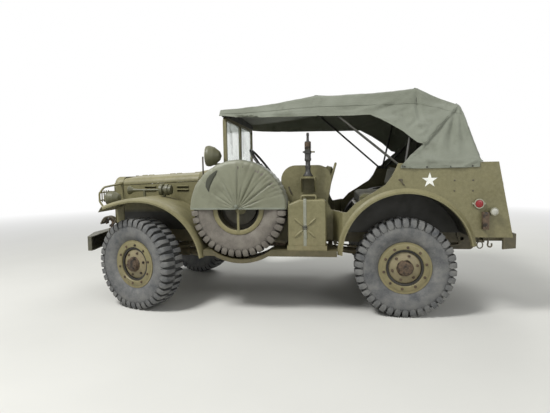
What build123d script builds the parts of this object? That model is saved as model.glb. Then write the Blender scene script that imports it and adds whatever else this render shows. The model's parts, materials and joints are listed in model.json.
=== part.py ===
from build123d import *
import math
import os

# Open army 4x4 command car with its canvas top up. Lengths are millimetres.
# X runs to the rear from the front axle, Y to the car's right, Z up from the ground.
# Every piece is moved at the end so that the origin lies under the middle of the car.

# Overall sizes
WHEELBASE = 2489.0
TRACK = 1645.0
FRONT_REACH = 740.0        # from the front axle to the bumper's face
REAR_REACH = 1010.0        # from the rear axle to the bumperettes' faces
TYRE_R = 448.0
TYRE_WIDTH = 252.0
HUB_Z = TYRE_R
REAR_X = WHEELBASE
HALF_TRACK = TRACK / 2
REST_STEER = -20.0         # the front wheels stand turned to the right

# Clearances
SEAT_GAP = 0.3             # between a piece and what it rests on or turns on
MOVE_GAP = 6.0             # between moving pieces
SHEET = 6.0                # pressed sheet with its folded rims

# Frame
FRAME_TOP = 735.0
RAIL_DEPTH = 135.0
RAIL_FLANGE = 56.0
RAIL_WALL = 6.0
RAIL_OUT_Y = 381.0
RAIL_FRONT_X = -615.0
RAIL_REAR_X = 3330.0
FRAME_BOTTOM = FRAME_TOP - RAIL_DEPTH
EYE_X = 3114.0             # lashing eye on each rail
EYE_Z = 640.0
EYE_R = 17.5
EYE_THICK = 14.0
RAIL_WEB_Y = RAIL_OUT_Y - RAIL_WALL

# Axles and steering
KINGPIN_Y = 668.0          # so far in that the tie rod's ends pass inside the tyres' inner faces
AXLE_TUBE_R = 42.0
BALL_R = 78.0
CUP_WALL = 13.0
BANJO_R = 138.0
BANJO_Y = -150.0
SPINDLE_R = 30.0
TIE_ARM_X = 110.0          # ball joint ahead of the kingpin
TIE_DROP = 125.0           # and below the axle
TIE_ROD_R = 13.0
BACKING_R = 178.0
SPRING_Y = 353.0
SPRING_WIDTH = 46.0

# Wheels
BEAD_R = 203.0
RIM_R = 236.0
RIM_HALF = 82.0
RIM_WALL = 6.0
RIM_FLANGE = 8.0
DISH_OUT = 18.0            # lateral place of the disc's outer face
DISH_IN = 8.0
DRUM_R = 178.0

# Body
FLOOR_THICK = 10.0
FLOOR_TOP = FRAME_TOP + FLOOR_THICK
TUB_Y = 715.0              # outer face of the body at the doorways
TUB_WALL = 20.0
QUARTER_Y = 955.0          # outer face of the rear quarters
QUARTER_WALL = 12.0
LIP_Y = 998.0              # rims of the wheel arches
BODY_TOP = 1387.0
TUB_BOTTOM = 670.0
QUARTER_BOTTOM = 737.0
COWL_X = 466.0
COWL_REAR_X = 770.0
WELL_Y = 640.0             # inner wall of a rear wheelhouse
REAR_ARCH_R = 556.0
REAR_ARCH_Z = 565.0
ARCH_FLARE = 46.0
REAR_TOP_X = 3247.0        # top and foot of the sloping rear panel
REAR_FOOT_X = 3375.0
DOOR_FOOT_Z = 830.0
DOOR_TOP_Z = 1330.0
DOOR_HALF_Y = 520.0

# Hood and front
HOOD_FRONT_X = -420.0
HOOD_REAR_X = 460.0
HOOD_FRONT_Z = 1303.0
HOOD_REAR_Z = 1339.0
HOOD_FRONT_HALF = 385.0
HOOD_REAR_HALF = 480.0
HOOD_EDGE_DROP = 92.0
HINGE_ROD_R = 5.0
HINGE_EYE_R = 11.0
SHELL_FRONT_X = -532.0
FENDER_R = 650.0
FENDER_LIP_R = 612.0
FENDER_FRONT_X = -519.0
FENDER_ROLL = 90.0         # width over which the crown rolls down to the rim
FENDER_BLEND = 97.0        # degrees from the rear where the flatter nose begins
NOSE_R = 1200.0

# Running boards
BOARD_FRONT_X = 646.0
BOARD_REAR_X = REAR_X - REAR_ARCH_R - ARCH_FLARE - 2
DIP_X = 1005.0
DIP_Z = 1000.0
DIP_R = 478.0              # dip of the left board under the spare tyre
BOARD_TOP = 612.0
BOARD_OUT_Y = 985.0
BOARD_LIP = 56.0

# Spare wheel and cans
SPARE_X = 980.0
SPARE_Z = 988.0
SPARE_Y = -(BOARD_OUT_Y - TYRE_WIDTH / 2)
COVER_THICK = 5.0
CAN_X = 1616.0
CAN_LENGTH = 345.0
CAN_WIDTH = 165.0
CAN_HEIGHT = 455.0
CAN_Y = -885.0

# Windshield and top
GLASS_X = 805.0
GLASS_HALF = 690.0
GLASS_TOP = 1868.0
POST = 34.0
CANVAS = 7.0
BOW_R = 11.0
HEM_Y = QUARTER_Y + SEAT_GAP + CANVAS
HEM_Z = 1303.0
HEM_REAR_X = 3093.0
TOP_REAR_X = 3218.0

# Steering wheel
STEER_X = 1130.0
STEER_Y = -380.0
STEER_Z = 1391.0
STEER_TILT = 37.5          # the column's slope above the level
STEER_R = 220.0

MIDDLE_X = (REAR_X + REAR_REACH - FRONT_REACH) / 2


# Shapes

def box(x0, x1, y0, y1, z0, z1):
    middle = ((x0 + x1) / 2, (y0 + y1) / 2, (z0 + z1) / 2)
    return Pos(*middle) * Box(x1 - x0, y1 - y0, z1 - z0)


def side_face(outline, radii=None):
    """Closed outline of (x, z) points, drawn in the car's side view."""
    flat = [(x, z) for x, z in outline]
    if radii is None:
        wire = Polyline(*flat, close=True)
    else:
        wire = FilletPolyline(*flat, radius=radii, close=True)
    return Plane.XZ * make_face(wire)


def side_plate(outline, y0, y1, radii=None):
    return Pos(0, y0, 0) * extrude(side_face(outline, radii), amount=y1 - y0, dir=(0, 1, 0))


def front_plate(outline, x0, x1, radii=None):
    """Closed outline of (y, z) points, run from x0 to x1."""
    flat = [(y, z) for y, z in outline]
    if radii is None:
        wire = Polyline(*flat, close=True)
    else:
        wire = FilletPolyline(*flat, radius=radii, close=True)
    return Pos(x0, 0, 0) * extrude(Plane.YZ * make_face(wire), amount=x1 - x0, dir=(1, 0, 0))


def plan_plate(outline, z0, z1, radii=None):
    """Closed outline of (x, y) points, run from z0 to z1."""
    if radii is None:
        wire = Polyline(*outline, close=True)
    else:
        wire = FilletPolyline(*outline, radius=radii, close=True)
    return Pos(0, 0, z0) * extrude(make_face(wire), amount=z1 - z0, dir=(0, 0, 1))


def polar(centre_x, centre_z, radius, degrees):
    angle = math.radians(degrees)
    return (centre_x + radius * math.cos(angle), centre_z + radius * math.sin(angle))


def arc_band(centre_x, centre_z, inner, outer, start, stop, y0, y1):
    """Curved strip about a cross axis, seen from the side, with angles from the rear."""
    half = (start + stop) / 2
    a0 = polar(centre_x, centre_z, inner, start)
    a1 = polar(centre_x, centre_z, inner, half)
    a2 = polar(centre_x, centre_z, inner, stop)
    b0 = polar(centre_x, centre_z, outer, start)
    b1 = polar(centre_x, centre_z, outer, half)
    b2 = polar(centre_x, centre_z, outer, stop)
    edges = [
        ThreePointArc(a0, a1, a2),
        Line(a2, b2),
        ThreePointArc(b2, b1, b0),
        Line(b0, a0),
    ]
    face = Plane.XZ * make_face(edges)
    return Pos(0, y0, 0) * extrude(face, amount=y1 - y0, dir=(0, 1, 0))


def rod(start, end, radius):
    axis = Vector(*end) - Vector(*start)
    plane = Plane(origin=start, z_dir=axis)
    return plane * Cylinder(radius, axis.length, align=(Align.CENTER, Align.CENTER, Align.MIN))


def tube(points, radius, bend):
    """Round bar along straight runs joined by arcs."""
    path = FilletPolyline(*points, radius=bend)
    plane = Plane(origin=path @ 0, z_dir=path % 0)
    return sweep(plane * Circle(radius), path=path)


def turned(profile):
    """Closed profile of (y, r) points turned about the Y axis."""
    face = Plane.YZ * make_face(Polyline(*profile, close=True))
    return revolve(face, axis=Axis.Y)


def disc(x, y0, y1, z, radius):
    return rod((x, y0, z), (x, y1, z), radius)


def across(shape):
    """The same piece on the car's other side."""
    return mirror(shape, about=Plane.XZ)


def both_sides(shape):
    return [shape, across(shape)]


def fuse(shapes):
    first, *rest = shapes
    return first.fuse(*rest) if rest else first


# Chassis

def frame_rails():
    outside = box(RAIL_FRONT_X, RAIL_REAR_X, RAIL_OUT_Y - RAIL_FLANGE, RAIL_OUT_Y, FRAME_BOTTOM, FRAME_TOP)
    inside = box(
        RAIL_FRONT_X - 1,
        RAIL_REAR_X + 1,
        RAIL_OUT_Y - RAIL_FLANGE - 1,
        RAIL_WEB_Y,
        FRAME_BOTTOM + RAIL_WALL,
        FRAME_TOP - RAIL_WALL,
    )
    hole = disc(EYE_X, RAIL_WEB_Y - 1, RAIL_OUT_Y + EYE_THICK + 1, EYE_Z, EYE_R)
    return both_sides((outside - inside) + lashing_eye() - hole)


# Cross members: middle x, length along x, foot z, top z
CROSS_MEMBERS = [
    (-570.0, 60.0, FRAME_BOTTOM + 10, FRAME_TOP - 10),
    (-250.0, 70.0, FRAME_BOTTOM + 10, FRAME_BOTTOM + 50),
    (560.0, 70.0, FRAME_BOTTOM + 10, FRAME_BOTTOM + 50),
    (1450.0, 70.0, FRAME_BOTTOM + 30, FRAME_TOP - 10),
    (2060.0, 70.0, FRAME_BOTTOM + 30, FRAME_TOP - 10),
    (2780.0, 70.0, FRAME_BOTTOM + 30, FRAME_TOP - 10),
    (3300.0, 60.0, FRAME_BOTTOM + 10, FRAME_TOP - 10),
]
ENGINE_MOUNT_Z = FRAME_BOTTOM + 50
OUTRIGGERS = [690.0, 1400.0, 1820.0]
OUTRIGGER_WIDTH = 46.0


def cross_members():
    pieces = []
    for middle, length, foot, top in CROSS_MEMBERS:
        outer = box(middle - length / 2, middle + length / 2, -RAIL_WEB_Y, RAIL_WEB_Y, foot, top)
        hollow = box(
            middle - length / 2 + RAIL_WALL,
            middle + length / 2 - RAIL_WALL,
            -RAIL_WEB_Y - 1,
            RAIL_WEB_Y + 1,
            foot - 1,
            top - RAIL_WALL,
        )
        pieces.append(outer - hollow)
    underside = BOARD_TOP - SHEET
    for middle in OUTRIGGERS:
        profile = [
            (RAIL_OUT_Y, underside - 70),
            (RAIL_OUT_Y, underside + 40),
            (RAIL_OUT_Y + 40, underside),
            (BOARD_OUT_Y - 30, underside),
            (BOARD_OUT_Y - 30, underside - 25),
        ]
        arm = front_plate(profile, middle - OUTRIGGER_WIDTH / 2, middle + OUTRIGGER_WIDTH / 2)
        pieces += both_sides(arm)
    return pieces


def front_bumper():
    """Deep channel with its ends swept back, on two horns of the frame."""
    face_half = 470.0
    end_half = 800.0
    end_x = -620.0
    depth = 118.0
    low = 558.0
    high = 703.0
    wall = 8.0
    front = -FRONT_REACH
    outline = [
        (front, -face_half),
        (front, face_half),
        (end_x, end_half),
        (end_x + 40, end_half),
        (end_x + 40, end_half - 60),
        (front + depth, face_half - 20),
        (front + depth, -face_half + 20),
        (end_x + 40, -end_half + 60),
        (end_x + 40, -end_half),
        (end_x, -end_half),
    ]
    body = plan_plate(outline, low, high)
    inner = [
        (front + wall, -face_half + 2),
        (front + wall, face_half - 2),
        (end_x + wall, end_half - 12),
        (end_x + 60, end_half - 12),
        (front + depth + 60, face_half),
        (front + depth + 60, -face_half),
        (end_x + 60, -end_half + 12),
        (end_x + wall, -end_half + 12),
    ]
    body = body - plan_plate(inner, low + wall, high - wall)
    horn_front = front + wall
    horns = []
    for side in (-1, 1):
        y0 = side * (RAIL_OUT_Y - 25) - 22
        horns.append(box(horn_front, RAIL_FRONT_X, y0, y0 + 44, FRAME_BOTTOM + 12, high - wall))
    return fuse([body] + horns)


def banjo_axle():
    """Axle housing about the origin, along Y, out to the ball or the spindle."""
    bowl = Pos(0, BANJO_Y, 0) * turned(
        [(-88, 0), (-88, 60), (-62, 112), (-30, BANJO_R), (30, BANJO_R), (62, 112), (88, 60), (88, 0)]
    )
    return bowl


def spring_pad(y):
    top = AXLE_TUBE_R + 9
    return box(-55, 55, y - SPRING_WIDTH / 2 - 4, y + SPRING_WIDTH / 2 + 4, 0, top)


def nose(direction):
    """Pinion housing that points along X."""
    return rod((direction * 90, BANJO_Y, 0), (direction * 240, BANJO_Y, 0), 52) + rod(
        (direction * 235, BANJO_Y, 0), (direction * 275, BANJO_Y, 0), 40
    )


def front_axle():
    pieces = [banjo_axle(), nose(1)]
    pieces.append(disc(0, -(KINGPIN_Y - 40), KINGPIN_Y - 40, 0, AXLE_TUBE_R))
    for side in (-1, 1):
        pieces.append(Pos(0, side * KINGPIN_Y, 0) * Sphere(BALL_R))
        pieces.append(spring_pad(side * SPRING_Y))
    return Pos(0, 0, HUB_Z) * fuse(pieces)


BACKING_OUT = -45.0        # lateral place of the backing plate's outer face
SPINDLE_END = 58.0


def backing_and_spindle():
    """Brake backing plate and spindle, laterally from the middle of the wheel."""
    plate = turned([(BACKING_OUT - 7, 0), (BACKING_OUT - 7, BACKING_R), (BACKING_OUT, BACKING_R), (BACKING_OUT, 0)])
    spindle = turned([(BACKING_OUT, 0), (BACKING_OUT, 44), (-32, SPINDLE_R), (SPINDLE_END, SPINDLE_R), (SPINDLE_END, 0)])
    return plate + spindle


def rear_axle():
    pieces = [banjo_axle(), nose(-1)]
    reach = HALF_TRACK + BACKING_OUT
    pieces.append(disc(0, -reach, reach, 0, AXLE_TUBE_R))
    right = Pos(0, HALF_TRACK, 0) * backing_and_spindle()
    pieces += both_sides(right)
    for side in (-1, 1):
        pieces.append(spring_pad(side * SPRING_Y))
    return Pos(REAR_X, 0, HUB_Z) * fuse(pieces)


def leaf_spring(middle_x, half_length, leaves, leaf):
    """Pack of arched leaves on the axle's pad, with its eyes and hangers."""
    seat = HUB_Z + AXLE_TUBE_R + 9
    rise = 44.0
    radius = (half_length ** 2 + rise ** 2) / (2 * rise)
    y0 = SPRING_Y - SPRING_WIDTH / 2
    y1 = SPRING_Y + SPRING_WIDTH / 2
    pieces = []
    centre_z = seat + leaves * leaf + radius - leaf
    for number in range(leaves):
        reach = half_length * (1 - number * 0.2)
        swing = math.degrees(math.asin(reach / radius))
        inner = radius + (number - 1) * leaf
        pieces.append(arc_band(middle_x, centre_z, inner, inner + leaf, 270 - swing, 270 + swing, y0, y1))
    pieces.append(box(middle_x - 45, middle_x + 45, y0, y1, seat, seat + leaves * leaf + 8))
    swing = math.degrees(math.asin(half_length / radius))
    for angle in (270 - swing, 270 + swing):
        eye_x, eye_z = polar(middle_x, centre_z, radius - leaf / 2, angle)
        pieces.append(disc(eye_x, y0, y1, eye_z, 14))
        hanger = box(eye_x - 20, eye_x + 20, y0, y1, eye_z, FRAME_BOTTOM)
        pieces.append(hanger)
    return fuse(pieces)


def leaf_springs():
    front = leaf_spring(0.0, 455.0, 4, 9.0)
    rear = leaf_spring(REAR_X, 620.0, 4, 10.0)
    return both_sides(front) + both_sides(rear)


# Steering

def knuckle_straight():
    """Cup about the axle's ball with kingpin bosses, backing plate, spindle and steering arm."""
    cup_r = BALL_R + SEAT_GAP + CUP_WALL
    cup = Sphere(cup_r)
    opening = 22.0
    cup = cup - box(-cup_r - 1, cup_r + 1, -cup_r - 1, -opening, -cup_r - 1, cup_r + 1)
    bosses = rod((0, 0, -cup_r - 14), (0, 0, cup_r + 14), 26)
    neck = turned([(40, 0), (40, 84), (HALF_TRACK + BACKING_OUT - 3 - KINGPIN_Y, 70), (HALF_TRACK + BACKING_OUT - 3 - KINGPIN_Y, 0)])
    carrier = Pos(0, HALF_TRACK - KINGPIN_Y, 0) * backing_and_spindle()
    arm_top = -TIE_DROP + 30
    arm_outline = [(28, -26), (28, 26), (-30, 24), (-TIE_ARM_X - 18, 14), (-TIE_ARM_X - 18, -14), (-30, -24)]
    arm = plan_plate(arm_outline, arm_top - 12, arm_top)
    ball = rod((-TIE_ARM_X, 0, -TIE_DROP + 2), (-TIE_ARM_X, 0, arm_top - 6), 9)
    whole = fuse([cup, bosses, neck, carrier, arm]) - Sphere(BALL_R + SEAT_GAP)
    return whole + ball


def knuckle(side):
    """Both arms point forward, so the left knuckle is the right one mirrored."""
    right = knuckle_straight()
    shape = right if side > 0 else across(right)
    shape = shape.rotate(Axis.Z, REST_STEER)
    return Pos(0, side * KINGPIN_Y, HUB_Z) * shape


def tie_end(side):
    """Place of a tie rod's ball joint at rest."""
    angle = math.radians(REST_STEER)
    x = -TIE_ARM_X * math.cos(angle)
    y = side * KINGPIN_Y - TIE_ARM_X * math.sin(angle)
    return (x, y, HUB_Z - TIE_DROP)


def tie_rod():
    left = tie_end(-1)
    right = tie_end(1)
    bar = rod(left, right, TIE_ROD_R)
    eyes = []
    for end in (left, right):
        eyes.append(rod((end[0], end[1], end[2] - 18), (end[0], end[1], end[2] + 18), 20))
    whole = fuse([bar] + eyes)
    for end in (left, right):
        bottom = (end[0], end[1], end[2] - 1)
        whole = whole - rod(bottom, (end[0], end[1], end[2] + 40), 9 + SEAT_GAP)
    return whole


def steering_place():
    """Plane at the steering wheel's middle with its Z along the column, up to the driver."""
    slope = math.radians(STEER_TILT)
    return Plane(
        origin=(STEER_X, STEER_Y, STEER_Z),
        x_dir=(0, 1, 0),
        z_dir=(math.cos(slope), 0, math.sin(slope)),
    )


def steering_wheel():
    rim = Torus(STEER_R - 12, 12)
    hub = Pos(0, 0, -34) * Cylinder(34, 34, align=(Align.CENTER, Align.CENTER, Align.MIN))
    pieces = [rim, hub]
    for angle in (90, 210, 330):
        a = math.radians(angle)
        start = (20 * math.cos(a), 20 * math.sin(a), -18)
        end = ((STEER_R - 12) * math.cos(a), (STEER_R - 12) * math.sin(a), 0)
        pieces.append(rod(start, end, 7))
    return steering_place() * fuse(pieces)


COLUMN_LENGTH = 900.0
COLUMN_R = 20.0


def steering_column():
    upright = (Align.CENTER, Align.CENTER, Align.MIN)
    column = Pos(0, 0, -COLUMN_LENGTH) * Cylinder(COLUMN_R, COLUMN_LENGTH - 34 - MOVE_GAP, align=upright)
    shaft = Pos(0, 0, -60) * Cylinder(9, 60 - 34 - SEAT_GAP, align=upright)
    gear = Pos(0, 0, -COLUMN_LENGTH) * Box(110, 90, 120)
    gear_x = (steering_place() * Pos(0, 0, -COLUMN_LENGTH)).position.X
    foot = box(gear_x - 20, gear_x + 30, -RAIL_OUT_Y + 32, -RAIL_OUT_Y + 54, FRAME_TOP, FRAME_TOP + 100)
    return fuse([steering_place() * fuse([column, shaft, gear]), foot])


def column_room():
    """Hole that the column passes through."""
    upright = (Align.CENTER, Align.CENTER, Align.MIN)
    return steering_place() * (Pos(0, 0, -COLUMN_LENGTH) * Cylinder(COLUMN_R + 4, COLUMN_LENGTH, align=upright))


# Wheels

def tyre_at_origin():
    half = TYRE_WIDTH / 2
    right = [
        (RIM_HALF - 0.3, BEAD_R + SEAT_GAP),
        (RIM_HALF - 0.3, RIM_R + 2),
        (RIM_HALF + 28, 262.0),
        (half, 330.0),
        (half - 3, 398.0),
        (half - 14, TYRE_R - 6),
        (half - 22, TYRE_R),
    ]
    left = [(-y, r) for y, r in reversed(right)]
    return turned(right + left)


def rim_at_origin(face):
    """Divided rim with its bolted ring on the side that face gives."""
    rim = turned([
        (-RIM_HALF - RIM_FLANGE, BEAD_R - RIM_WALL),
        (-RIM_HALF - RIM_FLANGE, RIM_R),
        (-RIM_HALF, RIM_R),
        (-RIM_HALF, BEAD_R),
        (RIM_HALF, BEAD_R),
        (RIM_HALF, RIM_R),
        (RIM_HALF + RIM_FLANGE, RIM_R),
        (RIM_HALF + RIM_FLANGE, 200.0),
        (RIM_HALF - 4, 186.0),
        (RIM_HALF - 4, 152.0),
        (DISH_OUT, 146.0),
        (DISH_OUT, 60.0),
        (DISH_IN, 60.0),
        (DISH_IN, 152.0),
        (RIM_HALF - 14, 158.0),
        (RIM_HALF - 14, BEAD_R - RIM_WALL),
    ])
    return rim if face > 0 else rim.rotate(Axis.Z, 180)


def wheel_at_origin():
    """Rim with hub, drive flange and brake drum, its outer face towards +Y."""
    hub = turned([
        (-28, SPINDLE_R + SEAT_GAP),
        (-28, 50),
        (6, 62),
        (6, DRUM_R - 14),
        (-36, DRUM_R - 6),
        (-40, DRUM_R - 6),
        (-40, DRUM_R),
        (DISH_OUT, DRUM_R),
        (DISH_OUT, 126),
        (40, 122),
        (72, 96),
        (88, 62),
        (96, 58),
        (126, 58),
        (126, 30),
        (132, 26),
        (132, 0),
        (SPINDLE_END + 5, 0),
        (SPINDLE_END + 5, SPINDLE_R + SEAT_GAP),
    ])
    return rim_at_origin(1) + hub


# Body

REAR_DOORWAY = [
    (1935.0, 957.0),
    (1975.0, 957.0),
    (2048.0, 1036.0),
    (2153.0, 1100.0),
    (2242.0, 1158.0),
    (2310.0, 1200.0),
    (2362.0, 1270.0),
    (2402.0, 1352.0),
    (2416.0, BODY_TOP),
]


def tub_side():
    """Right side panel with the front doorway and the round headed panel behind it."""
    outline = [
        (COWL_REAR_X, TUB_BOTTOM),
        (COWL_REAR_X, BODY_TOP),
        (868.0, BODY_TOP),
        (868.0, 860.0),
        (1357.0, 860.0),
        (1357.0, BODY_TOP),
        (1858.0, BODY_TOP),
        (1800.0, 1030.0),
        (1836.0, 957.0),
        (1850.0, 957.0),
        (1850.0, TUB_BOTTOM),
    ]
    radii = [5, 5, 40, 110, 110, 140, 130, 60, 5, 5, 5]
    return side_plate(outline, TUB_Y - TUB_WALL, TUB_Y, radii)


def quarter_panel():
    outline = [
        (1935.0, 575.0),
        *REAR_DOORWAY,
        (REAR_TOP_X, BODY_TOP),
        (REAR_FOOT_X, QUARTER_BOTTOM),
        (3020.0, QUARTER_BOTTOM),
        (3020.0, 660.0),
        (2900.0, 575.0),
    ]
    panel = side_plate(outline, QUARTER_Y - QUARTER_WALL, QUARTER_Y)
    flare = Pos(REAR_X, 0, REAR_ARCH_Z) * turned([
        (QUARTER_Y - QUARTER_WALL, REAR_ARCH_R - 4),
        (QUARTER_Y - QUARTER_WALL, REAR_ARCH_R + ARCH_FLARE),
        (QUARTER_Y, REAR_ARCH_R + ARCH_FLARE),
        (QUARTER_Y + 18, REAR_ARCH_R + 26),
        (LIP_Y, REAR_ARCH_R + 14),
        (LIP_Y, REAR_ARCH_R - 4),
    ])
    below = box(REAR_X - 700, REAR_X + 450, QUARTER_Y - 40, LIP_Y + 5, -100, 572)
    behind = box(REAR_X + 450, REAR_X + 700, QUARTER_Y - 40, LIP_Y + 5, -100, 660)
    flare = flare - below - behind
    hole = Pos(REAR_X, 0, REAR_ARCH_Z) * turned([(800, 0), (800, REAR_ARCH_R), (1100, REAR_ARCH_R), (1100, 0)])
    return (panel + flare) - hole


def turn_out():
    """Slanting panel from the doorway's side out to the rear quarter."""
    outline = [
        (1850.0, TUB_Y - TUB_WALL),
        (1850.0, TUB_Y),
        (1935.0, QUARTER_Y),
        (1947.0, QUARTER_Y),
        (1947.0, QUARTER_Y - QUARTER_WALL),
        (1862.0, TUB_Y - TUB_WALL),
    ]
    return plan_plate(outline, TUB_BOTTOM, 957.0)


def wheelhouse():
    centre_x = REAR_X
    arch = arc_band(centre_x, REAR_ARCH_Z, REAR_ARCH_R, REAR_ARCH_R + SHEET, 14, 166, WELL_Y, QUARTER_Y - QUARTER_WALL)
    wall = disc(centre_x, WELL_Y - SHEET, WELL_Y, REAR_ARCH_Z, REAR_ARCH_R + SHEET)
    below = box(centre_x - 700, centre_x + 700, WELL_Y - 20, QUARTER_Y - QUARTER_WALL + 1, -50, FLOOR_TOP)
    return (arch + wall) - below


def sill_floor():
    """Strip of floor between the doorway's side and the wheelhouse."""
    return box(3040.0, RAIL_REAR_X, WELL_Y - SHEET, QUARTER_Y - QUARTER_WALL, QUARTER_BOTTOM, QUARTER_BOTTOM + 8)


def body_side(side):
    shape = fuse([tub_side(), turn_out(), quarter_panel(), wheelhouse(), sill_floor()])
    return shape if side > 0 else across(shape)


def floor_pan():
    front = box(640.0, 1850.0, -(TUB_Y - TUB_WALL), TUB_Y - TUB_WALL, FRAME_TOP, FLOOR_TOP)
    rear = box(1850.0, RAIL_REAR_X, -(WELL_Y - SHEET), WELL_Y - SHEET, FRAME_TOP, FLOOR_TOP)
    toe_outline = [(TOE_X, 1010), (TOE_X + 8, 1010), (656, FLOOR_TOP), (641, FRAME_TOP), (633, FRAME_TOP)]
    toe = side_plate(toe_outline, -440, 440)
    seat_base_front = 2080.0
    seat_base_rear = 2520.0
    riser = box(seat_base_front, seat_base_rear, -(WELL_Y - SHEET) + 1, WELL_Y - SHEET - 1, FLOOR_TOP, 960.0)
    hollow = box(seat_base_front + 8, seat_base_rear - 8, -(WELL_Y - SHEET) + 9, WELL_Y - SHEET - 9, FLOOR_TOP - 30, 952.0)
    return fuse([front, rear, toe, riser]) - hollow - column_room()


TOE_X = COWL_X + 10 + SEAT_GAP


def toe_face_x(z):
    """Place of the sloping toe board's rear face at a height."""
    return 656 - (z - FLOOR_TOP) / (1010 - FLOOR_TOP) * (656 - TOE_X - 8)


def levers():
    """Gear, transfer and hand brake levers on a plate on the floor."""
    foot = FLOOR_TOP + SEAT_GAP
    pieces = [box(870, 1030, -100, 70, foot, foot + 8)]
    # foot x, foot y, knob x, knob y, knob z, rod radius, knob radius
    table = [
        (930.0, -40.0, 1080.0, -50.0, 1130.0, 8.0, 22.0),
        (950.0, 20.0, 1050.0, 25.0, 1010.0, 7.0, 18.0),
        (890.0, 50.0, 960.0, 60.0, 1120.0, 9.0, 13.0),
    ]
    for foot_x, foot_y, knob_x, knob_y, knob_z, rod_r, knob_r in table:
        pieces.append(rod((foot_x, foot_y, foot + 5), (knob_x, knob_y, knob_z), rod_r))
        pieces.append(Pos(knob_x, knob_y, knob_z) * Sphere(knob_r))
        pieces.append(rod((foot_x, foot_y, foot + 2), (foot_x, foot_y, foot + 26), 24))
    return fuse(pieces)


def pedal(y, width, height):
    """Pedal pad on an arm through the toe board."""
    pad_z = 880.0
    arm = rod((560, y, 770), (716, y, pad_z), 8)
    pad = Pos(720, y, pad_z) * Rot(0, -35, 0) * Box(12, width, height)
    below = [
        (toe_face_x(1010) + 1, 1010),
        (toe_face_x(FLOOR_TOP) + 1, FLOOR_TOP),
        (300, FLOOR_TOP),
        (300, 1010),
    ]
    return (arm + pad) - side_plate(below, y - 60, y + 60)


def controls():
    pedals = [pedal(-425, 66, 60), pedal(-305, 66, 60), pedal(-215, 46, 96)]
    return [levers()] + pedals


def rear_x(z):
    """Place of the sloping rear panel's outer face at a height."""
    share = (BODY_TOP - z) / (BODY_TOP - QUARTER_BOTTOM)
    return REAR_TOP_X + share * (REAR_FOOT_X - REAR_TOP_X)


PANEL_THICK = 14.0


def slope_plate(z0, z1, y0, y1, inset, thick):
    outline = [
        (rear_x(z0) - inset - thick, z0),
        (rear_x(z0) - inset, z0),
        (rear_x(z1) - inset, z1),
        (rear_x(z1) - inset - thick, z1),
    ]
    return side_plate(outline, y0, y1)


def rear_panel():
    """Rear wall with the luggage doorway, and the deck above it."""
    half = QUARTER_Y - QUARTER_WALL
    wall = slope_plate(QUARTER_BOTTOM + 8, BODY_TOP, -half, half, 0, PANEL_THICK)
    hole = slope_plate(DOOR_FOOT_Z, DOOR_TOP_Z, -DOOR_HALF_Y, DOOR_HALF_Y, -30, 90)
    deck = box(3085.0, REAR_TOP_X - 4, -half, half, BODY_TOP - 8, BODY_TOP)
    return (wall + deck) - hole


DOOR_PIN_Z = DOOR_FOOT_Z - 4
DOOR_PIN_X = rear_x(DOOR_PIN_Z) + 16


def luggage_door():
    leaf = slope_plate(
        DOOR_FOOT_Z + MOVE_GAP,
        DOOR_TOP_Z - MOVE_GAP,
        -DOOR_HALF_Y + MOVE_GAP,
        DOOR_HALF_Y - MOVE_GAP,
        0,
        PANEL_THICK,
    )
    pieces = [leaf]
    for middle in (-360.0, 0.0, 360.0):
        strap = slope_plate(DOOR_FOOT_Z + MOVE_GAP, DOOR_FOOT_Z + 120, middle - 18, middle + 18, -5, 5)
        eye = disc(DOOR_PIN_X, middle - 18, middle + 18, DOOR_PIN_Z, 9)
        link = side_plate(
            [
                (DOOR_PIN_X - 4, DOOR_PIN_Z),
                (DOOR_PIN_X + 6, DOOR_PIN_Z),
                (rear_x(DOOR_FOOT_Z + 20) + 5, DOOR_FOOT_Z + 20),
                (rear_x(DOOR_FOOT_Z + MOVE_GAP), DOOR_FOOT_Z + MOVE_GAP),
            ],
            middle - 18,
            middle + 18,
        )
        pieces += [strap, eye, link]
    whole = fuse(pieces)
    return whole - disc(DOOR_PIN_X, -700, 700, DOOR_PIN_Z, 4 + SEAT_GAP)


def door_pins():
    """Hinge pins and their lugs on the rear panel."""
    pieces = []
    for middle in (-360.0, 0.0, 360.0):
        pin = disc(DOOR_PIN_X, middle - 32, middle + 32, DOOR_PIN_Z, 4)
        pieces.append(pin)
        for offset in (-32, 24):
            lug = side_plate(
                [
                    (rear_x(DOOR_PIN_Z + 8), DOOR_PIN_Z + 8),
                    (rear_x(DOOR_PIN_Z - 30), DOOR_PIN_Z - 30),
                    (DOOR_PIN_X + 7, DOOR_PIN_Z - 7),
                    (DOOR_PIN_X + 7, DOOR_PIN_Z + 7),
                ],
                middle + offset,
                middle + offset + 8,
            )
            pieces.append(lug)
    return pieces


def rear_wall():
    return fuse([rear_panel()] + door_pins())


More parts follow.
